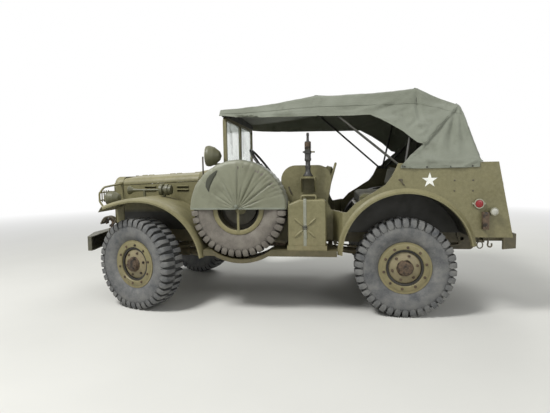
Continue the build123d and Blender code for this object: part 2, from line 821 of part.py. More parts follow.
def cowl():
    """Scuttle from the hood's rear edge out to the body's sides and the windshield."""
    def section(x, half, top, foot):
        wire = FilletPolyline((-half, foot), (-half, top), (half, top), (half, foot), radius=70)
        closed = make_face([*wire.edges(), Line(wire @ 1, wire @ 0)])
        return Pos(x, 0, 0) * (Plane.YZ * closed)

    front_top = HOOD_REAR_Z + 6
    outer = loft(
        [section(COWL_X, HOOD_REAR_HALF, front_top, FLOOR_TOP), section(COWL_REAR_X, TUB_Y, BODY_TOP, FLOOR_TOP)],
        ruled=True,
    )
    inner = loft(
        [
            section(COWL_X + 10, HOOD_REAR_HALF - 8, front_top - 8, FLOOR_TOP - 20),
            section(COWL_REAR_X + 1, TUB_Y - 8, BODY_TOP - 8, FLOOR_TOP - 20),
        ],
        ruled=True,
    )
    shell = outer - inner
    rail = box(COWL_REAR_X, GLASS_X + 40, -(TUB_Y - TUB_WALL), TUB_Y - TUB_WALL, BODY_TOP - 60, BODY_TOP)
    rail = rail - box(COWL_REAR_X - 1, GLASS_X + 30, -(TUB_Y - TUB_WALL - 8), TUB_Y - TUB_WALL - 8, BODY_TOP - 61, BODY_TOP - 8)
    panel = box(GLASS_X + 30, GLASS_X + 40, -560, 560, BODY_TOP - 165, BODY_TOP - 50)
    cluster = box(GLASS_X + 38, GLASS_X + 50, -130, 130, BODY_TOP - 150, BODY_TOP - 72)
    fender_room = Pos(0, 0, HUB_Z) * turned([(-1200, 0), (-1200, FENDER_R + 1), (1200, FENDER_R + 1), (1200, 0)])
    return fuse([shell, rail, panel, cluster]) - fender_room - column_room()


# Hood and front

def hood_z(x):
    share = (x - HOOD_FRONT_X) / (HOOD_REAR_X - HOOD_FRONT_X)
    return HOOD_FRONT_Z + share * (HOOD_REAR_Z - HOOD_FRONT_Z)


def hood_half_at(x):
    share = (x - HOOD_FRONT_X) / (HOOD_REAR_X - HOOD_FRONT_X)
    return HOOD_FRONT_HALF + share * (HOOD_REAR_HALF - HOOD_FRONT_HALF)


HOOD_SHEET = 5.0
HOOD_INNER_Y = 16.0


def hood_section(x, inset):
    """Half of the hood's cross section as a closed face at a station."""
    top = hood_z(x) - inset
    half = hood_half_at(x) - inset
    drop = HOOD_EDGE_DROP - inset
    shoulder_y = half - 66
    corner = 0.7071
    outer = [
        (HOOD_INNER_Y, top),
        (shoulder_y, top - 22),
        (shoulder_y + 66 * corner, top - 22 - 40 * (1 - corner) - 8),
        (half, top - drop + 12),
        (half, top - drop),
    ]
    edges = [
        Line(outer[0], outer[1]),
        ThreePointArc(outer[1], outer[2], outer[3]),
        Line(outer[3], outer[4]),
    ]
    closing = Polyline(outer[4], (HOOD_INNER_Y, top - drop), outer[0])
    face = make_face(edges + [*closing.edges()])
    return Pos(x, 0, 0) * (Plane.YZ * face)


def hood_half(side):
    outer = loft([hood_section(HOOD_FRONT_X, 0), hood_section(HOOD_REAR_X, 0)], ruled=True)
    inner = loft(
        [hood_section(HOOD_FRONT_X, HOOD_SHEET), hood_section(HOOD_REAR_X, HOOD_SHEET)],
        ruled=True,
    )
    cut = box(HOOD_FRONT_X - 5, HOOD_REAR_X + 5, 0, HOOD_INNER_Y + 0.01, 0, 2000)
    foot = box(HOOD_FRONT_X - 5, HOOD_REAR_X + 5, 0, 900, 0, HOOD_FRONT_Z - HOOD_EDGE_DROP)
    shell = outer - inner - cut - foot
    pieces = [shell]
    eyes = HOOD_EYES_RIGHT if side > 0 else HOOD_EYES_LEFT
    for middle in eyes:
        z = hood_axis_z(middle)
        start = (middle - 30, 0, hood_axis_z(middle - 30))
        end = (middle + 30, 0, hood_axis_z(middle + 30))
        pieces.append(rod(start, end, HINGE_EYE_R))
        pieces.append(box(middle - 26, middle + 26, 6, HOOD_INNER_Y + 30, z - 7, z + 1))
    whole = fuse(pieces)
    bore = rod((HOOD_FRONT_X - 60, 0, hood_axis_z(HOOD_FRONT_X - 60)), (HOOD_REAR_X + 60, 0, hood_axis_z(HOOD_REAR_X + 60)), HINGE_ROD_R + SEAT_GAP)
    whole = whole - bore
    return whole if side > 0 else across(whole)


HOOD_EYES_RIGHT = [-340.0, 0.0, 300.0]
HOOD_EYES_LEFT = [-260.0, 80.0, 380.0]


def hood_axis_z(x):
    return hood_z(x) - 2


def hinge_rod():
    """Rod along the hood's middle, in a bracket at each end."""
    start_x = HOOD_FRONT_X - 14
    end_x = COWL_X - SEAT_GAP
    bar = rod((start_x, 0, hood_axis_z(start_x)), (end_x, 0, hood_axis_z(end_x)), HINGE_ROD_R)
    return bar


def radiator_shell():
    """Deep rounded surround of the radiator, open at the front and rear."""
    half = HOOD_FRONT_HALF - 2
    top = HOOD_FRONT_Z - 4
    foot = 760.0
    outer = front_plate(
        [(-half, foot), (-half, top), (half, top), (half, foot)],
        SHELL_FRONT_X,
        HOOD_FRONT_X - MOVE_GAP,
        [40, 95, 95, 40],
    )
    front_edges = outer.edges().filter_by(lambda edge: abs(edge.center().X - SHELL_FRONT_X) < 1)
    outer = fillet(front_edges, 36)
    inner = front_plate(
        [(-half + 8, foot + 8), (-half + 8, top - 8), (half - 8, top - 8), (half - 8, foot + 8)],
        SHELL_FRONT_X + 10,
        HOOD_FRONT_X,
        [30, 86, 86, 30],
    )
    inner_edges = inner.edges().filter_by(lambda edge: abs(edge.center().X - SHELL_FRONT_X - 10) < 1)
    inner = fillet(inner_edges, 28)
    opening = front_plate(
        [(-half + 62, foot + 60), (-half + 62, top - 66), (half - 62, top - 66), (half - 62, foot + 60)],
        SHELL_FRONT_X - 5,
        SHELL_FRONT_X + 20,
        [30, 60, 60, 30],
    )
    bracket = box(HOOD_FRONT_X - 30, HOOD_FRONT_X - MOVE_GAP, -14, 14, top - 12, hood_axis_z(HOOD_FRONT_X) + 8)
    legs = []
    for side in (-1, 1):
        y = side * (RAIL_OUT_Y - 45)
        legs.append(box(-500, -440, y - 20, y + 20, FRAME_TOP, foot + 8))
    shell = outer - inner - opening
    return fuse([shell, bracket, hinge_rod()] + legs)


def radiator_core():
    half = HOOD_FRONT_HALF - 60
    return box(-485, -435, -half, half, 768 + SEAT_GAP, HOOD_FRONT_Z - 70)


GUARD_X = SHELL_FRONT_X - 22
HOOP_Y = 662.0


def lamp_guard():
    """Hoop before the right headlamp with upright bars, from the shell's side to the fender."""
    hoop = tube(
        [
            (-440, HOOD_FRONT_HALF + 8, 1226),
            (-495, HOOP_Y, 1196),
            (-548, HOOP_Y, 1130),
            (-548, HOOP_Y, 1050),
            (-470, HOOP_Y, 930),
        ],
        10,
        30,
    )
    lug = box(-456, -426 - SEAT_GAP, HOOD_FRONT_HALF - 2 + SEAT_GAP, HOOD_FRONT_HALF + 14, 1212, 1240)
    bars = [rod((GUARD_X + 6, 334, z), (GUARD_X + 6, HOOP_Y, z), 7) for z in (1060.0, 1140.0)]
    for number in range(4):
        y = 480.0 + 44 * number
        bars.append(rod((GUARD_X + 6, y, 1040), (GUARD_X + 6, y, 1160), 6))
    return above_fender(fuse([hoop, lug] + bars))


def front_guard():
    """Upright bars before the grille, on two cross bars, with a hoop before each headlamp."""
    pieces = []
    count = 11
    half = 300.0
    for number in range(count):
        y = -half + 2 * half * number / (count - 1)
        pieces.append(box(GUARD_X - 8, GUARD_X + 4, y - 9, y + 9, 742, 1232))
    for z in (800.0, 1196.0):
        pieces.append(box(GUARD_X + 4, GUARD_X + 10, -half - 45, half + 45, z - 14, z + 14))
    for side in (-1, 1):
        y = side * 334.0
        pieces.append(box(GUARD_X + 4, GUARD_X + 10, y - 11, y + 11, 786, 1210))
        for foot, top in ((786, 814), (1182, 1210)):
            pieces.append(box(GUARD_X + 4, SHELL_FRONT_X - SEAT_GAP, y - 11, y + 11, foot, top))
    return fuse(pieces + both_sides(lamp_guard()))


def front_hooks():
    """Open tow hook on the front end of each rail."""
    y0 = RAIL_OUT_Y - RAIL_FLANGE + 8
    y1 = y0 + 34
    base = box(RAIL_FRONT_X + 12, RAIL_FRONT_X + 112, y0, y1, FRAME_TOP + SEAT_GAP, FRAME_TOP + 24)
    bend = arc_band(RAIL_FRONT_X + 2, FRAME_TOP + 62, 24, 48, -95, 205, y0, y1)
    return both_sides(base + bend)


LAMP_X = -410.0
LAMP_Y = 585.0
LAMP_Z = 1078.0


def headlamp():
    body = Pos(LAMP_X, LAMP_Y, LAMP_Z) * revolve(
        make_face(Polyline((-80, 0), (-80, 70), (-70, 78), (-46, 78), (-10, 70), (40, 42), (62, 0), close=True)),
        axis=Axis.X,
    )
    return body


def fender_z(x):
    """Height of a fender's crown at a station ahead of or behind the front axle."""
    if x > FENDER_R * math.cos(math.radians(FENDER_BLEND)):
        return HUB_Z + math.sqrt(FENDER_R ** 2 - x ** 2)
    centre_x, centre_z = nose_centre()
    return centre_z + math.sqrt(NOSE_R ** 2 - (x - centre_x) ** 2)


def nose_centre():
    """Centre of the flatter arc ahead of the wheel, tangent to the arc about the wheel."""
    blend = math.radians(FENDER_BLEND)
    return (
        (FENDER_R - NOSE_R) * math.cos(blend),
        HUB_Z + (FENDER_R - NOSE_R) * math.sin(blend),
    )


def above_fender(shape):
    """What is left of a piece on the right fender above the crown and its seating gap."""
    split = FENDER_R * math.cos(math.radians(FENDER_BLEND))
    centre_x, centre_z = nose_centre()
    wheel_arc = disc(0, 300, 1100, HUB_Z, FENDER_R + SEAT_GAP)
    nose_arc = disc(centre_x, 300, 1100, centre_z, NOSE_R + SEAT_GAP)
    nose_arc = nose_arc - box(split, 2000, 290, 1110, -2000, 2000)
    return shape - wheel_arc - nose_arc


def headlamps():
    foot = fender_z(LAMP_X) - 30
    post = rod((LAMP_X, LAMP_Y, foot), (LAMP_X, LAMP_Y, LAMP_Z - 50), 16)
    base = rod((LAMP_X, LAMP_Y, foot), (LAMP_X, LAMP_Y, fender_z(LAMP_X) + 22), 34)
    right = above_fender(fuse([headlamp(), post, base]))
    return both_sides(right)


def fender_strip(radius, centre_x, centre_z, start, stop):
    """Crowned strip with a rolled outer rim, turned about a cross line between two angles."""
    inner_y = HOOD_FRONT_HALF - 20
    crown_y = LIP_Y - FENDER_ROLL
    rim = radius - (FENDER_R - FENDER_LIP_R)
    roll = FENDER_ROLL * 0.7071
    drop = 22.0
    bend_y = crown_y + roll
    bend_r = radius - drop + drop * 0.7071
    edges = [
        Line((inner_y, radius - SHEET), (inner_y, radius)),
        Line((inner_y, radius), (crown_y, radius)),
        ThreePointArc((crown_y, radius), (bend_y, bend_r), (LIP_Y, radius - drop)),
        Line((LIP_Y, radius - drop), (LIP_Y, rim)),
        Line((LIP_Y, rim), (LIP_Y - SHEET, rim)),
        Line((LIP_Y - SHEET, rim), (LIP_Y - SHEET, radius - drop - SHEET)),
        ThreePointArc(
            (LIP_Y - SHEET, radius - drop - SHEET),
            (bend_y - SHEET * 0.6, bend_r - SHEET * 1.1),
            (crown_y, radius - SHEET),
        ),
        Line((crown_y, radius - SHEET), (inner_y, radius - SHEET)),
    ]
    face = (Plane.YZ * make_face(edges)).rotate(Axis.Y, 90 - stop)
    return Pos(centre_x, 0, centre_z) * revolve(face, axis=Axis.Y, revolution_arc=stop - start)


def front_fender():
    """Crowned sheet over the front wheel, its straight inner edge along the hood."""
    centre_x, centre_z = nose_centre()
    front_angle = math.degrees(math.acos((FENDER_FRONT_X - centre_x) / NOSE_R))
    wheel_strip = fender_strip(FENDER_R, 0, HUB_Z, 8, FENDER_BLEND)
    nose_strip = fender_strip(NOSE_R, centre_x, centre_z, FENDER_BLEND, front_angle)
    hood_edge = plan_plate(
        [
            (-900, 0),
            (-900, hood_half_at(HOOD_FRONT_X)),
            (HOOD_FRONT_X, hood_half_at(HOOD_FRONT_X) + SEAT_GAP),
            (HOOD_REAR_X, hood_half_at(HOOD_REAR_X) + SEAT_GAP),
            (900, HOOD_REAR_HALF + SEAT_GAP),
            (900, 0),
        ],
        400,
        1400,
    )
    front_x = FENDER_FRONT_X - 10
    corner = plan_plate([(-700, 740), (front_x, 740), (-330, LIP_Y + 2), (-700, LIP_Y + 2)], 700, 1200)
    return wheel_strip + nose_strip - hood_edge - corner


def hood_sides():
    """Upright sides of the engine bay with two pairs of louvres each."""
    front = hood_half_at(HOOD_FRONT_X)
    rear = hood_half_at(HOOD_REAR_X)
    sheet = plan_plate(
        [
            (HOOD_FRONT_X, front),
            (HOOD_REAR_X, rear),
            (HOOD_REAR_X, rear - HOOD_SHEET),
            (HOOD_FRONT_X, front - HOOD_SHEET),
        ],
        FRAME_TOP,
        HOOD_REAR_Z,
    )
    drop = HOOD_EDGE_DROP + MOVE_GAP
    outline = [
        (HOOD_FRONT_X, FRAME_TOP),
        (HOOD_FRONT_X, HOOD_FRONT_Z - drop),
        (HOOD_REAR_X, HOOD_REAR_Z - drop),
        (HOOD_REAR_X, FRAME_TOP),
    ]
    side = sheet & side_plate(outline, 300, 600)
    for middle in (-96.0, 279.0):
        for z in (1147.0, 1185.0):
            y = hood_half_at(middle)
            slot = box(middle - 66, middle + 66, y - 40, y + 40, z - 9, z + 5)
            side = side - slot
    foot = plan_plate(
        [
            (HOOD_FRONT_X, RAIL_OUT_Y - 30),
            (HOOD_FRONT_X, front),
            (HOOD_REAR_X, rear),
            (HOOD_REAR_X, RAIL_OUT_Y - 30),
        ],
        FRAME_TOP,
        FRAME_TOP + 5,
    )
    return both_sides(side + foot)


def horn():
    """Trumpet with its motor housing, on the left fender beside the hood."""
    axis_y = 580.0
    axis_z = 1160.0
    bell = Pos(-260, axis_y, axis_z) * revolve(
        make_face(Polyline((0, 0), (0, 45), (6, 45), (50, 20), (120, 12), (342, 11), (342, 0), close=True)),
        axis=Axis.X,
    )
    motor = rod((82, axis_y, axis_z), (112, axis_y, axis_z), 58) + rod((106, axis_y, axis_z), (146, axis_y, axis_z), 38)
    motor = motor + rod((140, axis_y, axis_z), (170, axis_y, axis_z), 58) + rod((165, axis_y, axis_z), (202, axis_y, axis_z), 48)
    feet = []
    for x in (-90.0, 125.0):
        feet.append(box(x - 9, x + 9, axis_y - 14, axis_y + 14, fender_z(x) - 30, axis_z))
    return across(above_fender(fuse([bell, motor] + feet)))


# Running boards and what stands on them

def running_board(dip):
    """Board with a turned down outer rim, and with a round dip where the spare tyre hangs."""
    plate = box(BOARD_FRONT_X, BOARD_REAR_X, TUB_Y + 5, BOARD_OUT_Y, BOARD_TOP - SHEET, BOARD_TOP)
    rim = box(BOARD_FRONT_X, BOARD_REAR_X, BOARD_OUT_Y - SHEET, BOARD_OUT_Y, BOARD_TOP - BOARD_LIP, BOARD_TOP)
    whole = plate + rim
    if not dip:
        return whole
    low_rim = BOARD_LIP * 0.6
    whole = whole - disc(DIP_X, TUB_Y, BOARD_OUT_Y + 1, DIP_Z, DIP_R)
    bowl = arc_band(DIP_X, DIP_Z, DIP_R, DIP_R + SHEET, 225, 315, TUB_Y + 5, BOARD_OUT_Y)
    bowl = bowl + arc_band(DIP_X, DIP_Z, DIP_R, DIP_R + low_rim, 225, 315, BOARD_OUT_Y - SHEET, BOARD_OUT_Y)
    return whole + (bowl & box(BOARD_FRONT_X, BOARD_REAR_X, TUB_Y, BOARD_OUT_Y + 1, 300, BOARD_TOP))


def running_boards():
    return [running_board(False), across(running_board(True))]


def spare_place():
    return Pos(SPARE_X, SPARE_Y, SPARE_Z)


def side_carriers():
    """Post and plate that hold the spare wheel, and the tray of the can."""
    dish = SPARE_Y + DISH_OUT + SEAT_GAP
    wall = -TUB_Y - SEAT_GAP
    tyre_back = SPARE_Y + TYRE_WIDTH / 2 + 2
    rim_front = SPARE_Y - RIM_HALF - RIM_FLANGE - SEAT_GAP
    plate = disc(SPARE_X, dish, dish + 12, SPARE_Z, 105)
    stub = disc(SPARE_X, dish + 12, wall, SPARE_Z, 46)
    post = box(SPARE_X - 60, SPARE_X + 60, tyre_back, wall, TUB_BOTTOM + 20, SPARE_Z + 70)
    stud = disc(SPARE_X, rim_front - 12, dish + 6, SPARE_Z, 14)
    bar = box(SPARE_X - 11, SPARE_X + 11, rim_front - 7, rim_front, SPARE_Z - RIM_R + 3, SPARE_Z + RIM_R - 3)
    tray = box(
        CAN_X - CAN_LENGTH / 2 - 8,
        CAN_X + CAN_LENGTH / 2 + 8,
        CAN_Y - CAN_WIDTH / 2 - 8,
        CAN_Y + CAN_WIDTH / 2 + 8,
        BOARD_TOP,
        BOARD_TOP + 40,
    )
    tray = tray - box(
        CAN_X - CAN_LENGTH / 2 - 2,
        CAN_X + CAN_LENGTH / 2 + 2,
        CAN_Y - CAN_WIDTH / 2 - 2,
        CAN_Y + CAN_WIDTH / 2 + 2,
        BOARD_TOP + 5,
        BOARD_TOP + 60,
    )
    return [fuse([plate, stub, post, stud, bar]), tray]


def spare_cover():
    """Canvas cap over the upper half of the spare tyre."""
    inner = TYRE_R + SEAT_GAP
    outer = inner + COVER_THICK
    face = -TYRE_WIDTH / 2 - 4.5
    back = TYRE_WIDTH / 2 - 8
    shell = turned([(face - COVER_THICK, 0), (face - COVER_THICK, outer), (back, outer), (back, inner), (face, inner), (face, 0)])
    lower = box(-600, 600, -400, 400, -600, 0)
    return spare_place() * (shell - lower)


def jerry_can():
    base = BOARD_TOP + 5 + SEAT_GAP
    x0 = CAN_X - CAN_LENGTH / 2
    x1 = CAN_X + CAN_LENGTH / 2
    y0 = CAN_Y - CAN_WIDTH / 2
    y1 = CAN_Y + CAN_WIDTH / 2
    top = base + CAN_HEIGHT
    body = side_plate(
        [(x0, base), (x0, top - 42), (x0 + 105, top), (x1, top), (x1, base)],
        y0,
        y1,
        [30, 20, 30, 30, 30],
    )
    outline_edges = body.faces().filter_by(Axis.Y).edges()
    body = fillet(outline_edges, 16)
    handles = []
    for y in (CAN_Y - 42, CAN_Y, CAN_Y + 42):
        handles.append(
            tube([(x0 + 120, y, top - 10), (x0 + 120, y, top + 34), (x1 - 90, y, top + 34), (x1 - 90, y, top - 10)], 8, 18)
        )
    return fuse([body] + handles)


MAST_OUT = 122.0           # aerial's mast from the side panel, outside the top's edge
MAST_X = 1623.0
MAST_FOOT_R = 44.0


def aerial_base():
    """Shelf with gussets on the left side panel, over the can, with the foot of an aerial mast."""
    wall = -TUB_Y - SEAT_GAP
    x0 = MAST_X - 67
    x1 = MAST_X + 67
    y = wall - MAST_OUT
    front = y - MAST_FOOT_R
    foot = 1134.0
    top = 1272.0
    outline = [(wall, foot), (wall, top), (front, top), (front, top - 24), (wall - 64, foot)]
    side = make_face(Polyline(*outline, close=True))
    bracket = Pos(x0, 0, 0) * extrude(Plane.YZ * side, x1 - x0)
    bracket = bracket - box(x0 + 6, x1 - 6, front - 1, wall - 8, foot - 1, top - 8)
    mast = [
        rod((MAST_X, y, top - 2), (MAST_X, y, top + 14), MAST_FOOT_R),
        rod((MAST_X, y, top + 10), (MAST_X, y, 1450), 20),
        rod((MAST_X, y, 1448), (MAST_X, y, 1600), 26),
        rod((MAST_X, y, 1595), (MAST_X, y, 1680), 9),
        rod((MAST_X, y, 1506), (MAST_X + 62, y, 1506), 7),
    ]
    return fuse([bracket] + mast)


def spotlight():
    x = 720.0
    y = -762.0
    z = 1490.0
    lamp = Pos(x, y, z) * revolve(
        make_face(Polyline((-74, 0), (-74, 92), (-64, 100), (-44, 100), (0, 84), (50, 44), (70, 0), close=True)),
        axis=Axis.X,
    )
    stem = rod((x, y, z - 80), (x, y, 1404), 12)
    arm = box(x - 14, GLASS_X - POST / 2 - SEAT_GAP, y - 12, -GLASS_HALF + 10, 1402, 1420)
    return fuse([lamp, stem, arm])


# Windshield, seats and top

def windshield_frame():
    foot = BODY_TOP + SEAT_GAP
    outer = front_plate(
        [(-GLASS_HALF, foot), (-GLASS_HALF, GLASS_TOP), (GLASS_HALF, GLASS_TOP), (GLASS_HALF, foot)],
        GLASS_X - POST / 2,
        GLASS_X + POST / 2,
        [12, 40, 40, 12],
    )
    whole = outer
    for side in (-1, 1):
        y0 = POST / 2
        y1 = GLASS_HALF - POST
        low, high = sorted((side * y0, side * y1))
        pane = front_plate(
            [(low, foot + POST + 20), (low, GLASS_TOP - POST), (high, GLASS_TOP - POST), (high, foot + POST + 20)],
            GLASS_X - 60,
            GLASS_X + 60,
            24,
        )
        whole = whole - pane
    return whole


GLASS_THICK = 6.0


def windshield_glass():
    foot = BODY_TOP + SEAT_GAP + POST + 20
    panes = []
    for side in (-1, 1):
        low, high = sorted((side * POST / 2, side * (GLASS_HALF - POST)))
        pane = front_plate(
            [
                (low + SEAT_GAP, foot + SEAT_GAP),
                (low + SEAT_GAP, GLASS_TOP - POST - SEAT_GAP),
                (high - SEAT_GAP, GLASS_TOP - POST - SEAT_GAP),
                (high - SEAT_GAP, foot + SEAT_GAP),
            ],
            GLASS_X - GLASS_THICK / 2,
            GLASS_X + GLASS_THICK / 2,
            24,
        )
        panes.append(pane)
    return panes


SEAT_X = 1290.0
SEAT_Y = 350.0
SEAT_WIDTH = 500.0
SEAT_DEPTH = 480.0
SEAT_PAN_Z = 985.0
CUSHION = 110.0
BACK_TOP = 1400.0
PAD_REAR = 18.0            # back cushion's rear face behind the seat pan


def seat_frames():
    """Two front seats' legs, pans and back hoops."""
    frames = []
    for side in (-1, 1):
        y = side * SEAT_Y
        half = SEAT_WIDTH / 2
        pan = box(SEAT_X, SEAT_X + SEAT_DEPTH, y - half, y + half, SEAT_PAN_Z - 12, SEAT_PAN_Z)
        base = box(SEAT_X + 20, SEAT_X + SEAT_DEPTH - 20, y - half + 30, y + half - 30, FLOOR_TOP, SEAT_PAN_Z - 12)
        base = base - box(SEAT_X + 30, SEAT_X + SEAT_DEPTH - 30, y - half + 40, y + half - 40, FLOOR_TOP - 10, SEAT_PAN_Z - 20)
        back_x = SEAT_X + SEAT_DEPTH + 40
        hoop = tube(
            [
                (SEAT_X + SEAT_DEPTH - 12, y - half + 12, SEAT_PAN_Z - 6),
                (back_x + 66, y - half + 12, BACK_TOP),
                (back_x + 66, y + half - 12, BACK_TOP),
                (SEAT_X + SEAT_DEPTH - 12, y + half - 12, SEAT_PAN_Z - 6),
            ],
            12,
            70,
        )
        rear = SEAT_X + SEAT_DEPTH
        back_x0 = rear + PAD_REAR + SEAT_GAP
        back = box(back_x0, back_x0 + SHEET, y - half + 14, y + half - 14, SEAT_PAN_Z + 70, BACK_TOP - 40)
        frames.append(fuse([pan, base, hoop, lean(back, rear, SEAT_PAN_Z + CUSHION)]))
    return frames


def cushion(x0, x1, y0, y1, z0, z1):
    block = box(x0, x1, y0, y1, z0, z1)
    return fillet(block.edges(), 26)


def lean(shape, x, z):
    """Tips a back cushion rearwards about a cross line."""
    return Pos(x, 0, z) * ((Pos(-x, 0, -z) * shape).rotate(Axis.Y, 14))


def front_seats():
    pads = []
    for side in (-1, 1):
        y = side * SEAT_Y
        half = SEAT_WIDTH / 2
        pads.append(cushion(SEAT_X, SEAT_X + SEAT_DEPTH - 30, y - half, y + half, SEAT_PAN_Z + SEAT_GAP, SEAT_PAN_Z + CUSHION))
        rear = SEAT_X + SEAT_DEPTH
        back = cushion(rear - 62, rear + PAD_REAR, y - half + 30, y + half - 30, SEAT_PAN_Z + CUSHION + 20, BACK_TOP - 6)
        pads.append(lean(back, rear, SEAT_PAN_Z + CUSHION))
    return pads


REAR_SEAT_X = 2084.0
REAR_SEAT_Z = 960.0
REAR_SEAT_DEPTH = 430.0


def rear_seat():
    half = WELL_Y - SHEET - SEAT_GAP
    pad = cushion(REAR_SEAT_X, REAR_SEAT_X + REAR_SEAT_DEPTH, -half, half, REAR_SEAT_Z + SEAT_GAP, REAR_SEAT_Z + 130)
    rear = REAR_SEAT_X + REAR_SEAT_DEPTH
    back = cushion(rear - 60, rear + 60, -half, half, REAR_SEAT_Z + 150, BODY_TOP - 10)
    return [pad, lean(back, rear, REAR_SEAT_Z + 150)]


# Canvas top's cross sections: x, roof height, roof half width, shoulder drop, foot half width,
# height of the upright hem's top, foot height
TOP_SECTIONS = [
    (768.0, 1945.0, 740.0, 60.0, 792.0, 1870.0, 1850.0),
    (1700.0, 2044.0, 740.0, 120.0, 800.0, 1860.0, 1820.0),
    (2609.0, 2070.0, 740.0, 150.0, HEM_Y, BODY_TOP + 12, HEM_Z),
    (2990.0, 1905.0, 735.0, 90.0, HEM_Y, BODY_TOP + 12, HEM_Z),
    (3086.0, 1680.0, 780.0, 60.0, HEM_Y, BODY_TOP + 12, HEM_Z),
    (TOP_REAR_X, 1430.0, 860.0, 16.0, HEM_Y, BODY_TOP + 4, HEM_Z),
]
ROOF_CROWN = 22.0


def top_section(x, roof, half, drop, foot_half, hem_top, foot, inset):
    """Closed cross section of the top, wider at the hem than at the roof."""
    r = roof - inset
    h = half - inset * 0.5
    f = foot_half - inset
    points = [
        (-f, foot),
        (-f, hem_top - inset * 0.5),
        (-h - 32 + inset * 0.3, r - drop),
        (-h, r - ROOF_CROWN),
        (0, r),
        (h, r - ROOF_CROWN),
        (h + 32 - inset * 0.3, r - drop),
        (f, hem_top - inset * 0.5),
        (f, foot),
    ]
    return Pos(x, 0, 0) * (Plane.YZ * make_face(Polyline(*points, close=True)))


# Outline cut out of each side of the top, seen from the side
TOP_SIDE_OPENING = [
    (600.0, 1100.0),
    (600.0, 1884.0),
    (799.0, 1893.0),
    (860.0, 1858.0),
    (980.0, 1845.0),
    (1296.0, 1835.0),
    (2188.0, 1833.0),
    (2333.0, 1757.0),
    (2468.0, 1671.0),
    (2586.0, 1567.0),
    (2639.0, 1552.0),
    (2522.0, 1455.0),
    (2432.0, 1345.0),
    (2423.0, 1100.0),
]


def canvas_top():
    outer = loft([top_section(*row, 0) for row in TOP_SECTIONS], ruled=True)
    inner_rows = []
    for number, row in enumerate(TOP_SECTIONS):
        x = row[0]
        if number == 0:
            x = x - 1
        if number == len(TOP_SECTIONS) - 1:
            x = x - 9
        inner_rows.append((x, *row[1:6], row[6] - 20))
    inner = loft([top_section(*row, CANVAS) for row in inner_rows], ruled=True)
    side_cut = side_plate(TOP_SIDE_OPENING, -1200, 1200)
    body = box(
        TOP_SIDE_OPENING[-1][0] - 100,
        TOP_REAR_X + 1,
        -QUARTER_Y - SEAT_GAP,
        QUARTER_Y + SEAT_GAP,
        HEM_Z - 1,
        BODY_TOP + SEAT_GAP,
    )
    deck = box(HEM_REAR_X, TOP_REAR_X + 1, -1200, 1200, HEM_Z - 1, BODY_TOP + SEAT_GAP)
    return outer - inner - side_cut - body - deck


def roof_under(row, y):
    """Height of the canvas's underside at a station and a place across the car."""
    return row[1] - CANVAS - ROOF_CROWN * abs(y) / (row[2] - CANVAS / 2)


# Bows: station of the top they carry, distance ahead of it, first station of the roof panel
# they press on, x of the pivot on the body
BOWS = [
    (1, 0.0, 0, 2440.0),
    (2, 0.0, 2, 2480.0),
    (3, 16.0, 2, 2520.0),
]
PIVOT_Z = 1362.0


def top_bows():
    """Header on the windshield and three tubular bows from a pivot on each side."""
    half = 712.0
    wall = QUARTER_Y - QUARTER_WALL - SEAT_GAP
    foot = wall - 20
    pieces = []
    for station, ahead, panel, pivot_x in BOWS:
        section = TOP_SECTIONS[station]
        first = TOP_SECTIONS[panel]
        second = TOP_SECTIONS[panel + 1]
        slope = (second[1] - first[1]) / (second[0] - first[0])
        x = section[0] - ahead
        drop = (BOW_R + SEAT_GAP) * math.hypot(1, slope) + ahead * slope
        edge = roof_under(section, half) - drop
        crown = roof_under(section, 0) - drop
        path = [(pivot_x, -foot, PIVOT_Z), (x, -half, edge), (x, 0, crown), (x, half, edge), (pivot_x, foot, PIVOT_Z)]
        bow = tube(path, BOW_R, [50, 500, 50])
        boss = disc(pivot_x, foot - 16, wall, PIVOT_Z, 18)
        pieces.append(fuse([bow] + both_sides(boss)))
    front = TOP_SECTIONS[0]
    foot = GLASS_TOP + SEAT_GAP
    header = front_plate(
        [
            (-half, foot),
            (-half, roof_under(front, half) - 1),
            (0, roof_under(front, 0) - 1),
            (half, roof_under(front, half) - 1),
            (half, foot),
        ],
        GLASS_X - 20,
        GLASS_X + 24,
    )
    pieces.append(header)
    return pieces


def tail_lights():
    lamps = []
    for side in (-1, 1):
        y = side * 790.0
        z = 1190.0
        slope = math.atan2(REAR_FOOT_X - REAR_TOP_X, BODY_TOP - QUARTER_BOTTOM)
        out_x = math.cos(slope)
        out_z = math.sin(slope)
        x = rear_x(z) + SEAT_GAP * out_x
        foot_z = z + SEAT_GAP * out_z
        lamps.append(rod((x, y, foot_z), (x + 40 * out_x, y, foot_z + 40 * out_z), 42))
        out = side * (QUARTER_Y + SEAT_GAP)
        lamps.append(disc(3090.0, out, out + side * 18, 1030.0, 43))
        lamps.append(box(3117, 3165, min(out, out + side * 44), max(out, out + side * 44), 811, 958))
        lamps.append(disc(3201.0, out, out + side * 60, 967.0, 32))
    return lamps


def engine_block():
    """Block with its sump, head, fan, manifold, air cleaner and the hose from the radiator."""
    front = -340.0
    pieces = [
        box(-220, 330, -150, 150, ENGINE_MOUNT_Z + SEAT_GAP, 800),
        box(front, 430, -150, 150, 790, 1120),
        box(front + 20, 390, -100, 100, 1110, 1185),
        box(-200, 300, 140, 190 - SEAT_GAP, 850, 1060),
        rod((-230, 175, 1040), (320, 175, 1040), 32),
        rod((-80, 150, 1060), (-80, 150, 1215), 26),
        rod((-80, 130, 1150), (-80, 130, 1255), 78),
        rod((front - 32, 0, 960), (front + 10, 0, 960), 45),
        rod((front - 30, 0, 960), (front - 18, 0, 960), 190),
        rod((-435 + SEAT_GAP, -60, 1160), (front + 60, -60, 1160), 26),
        rod((40, -175, 900), (240, -175, 900), 62),
    ]
    return fuse(pieces)


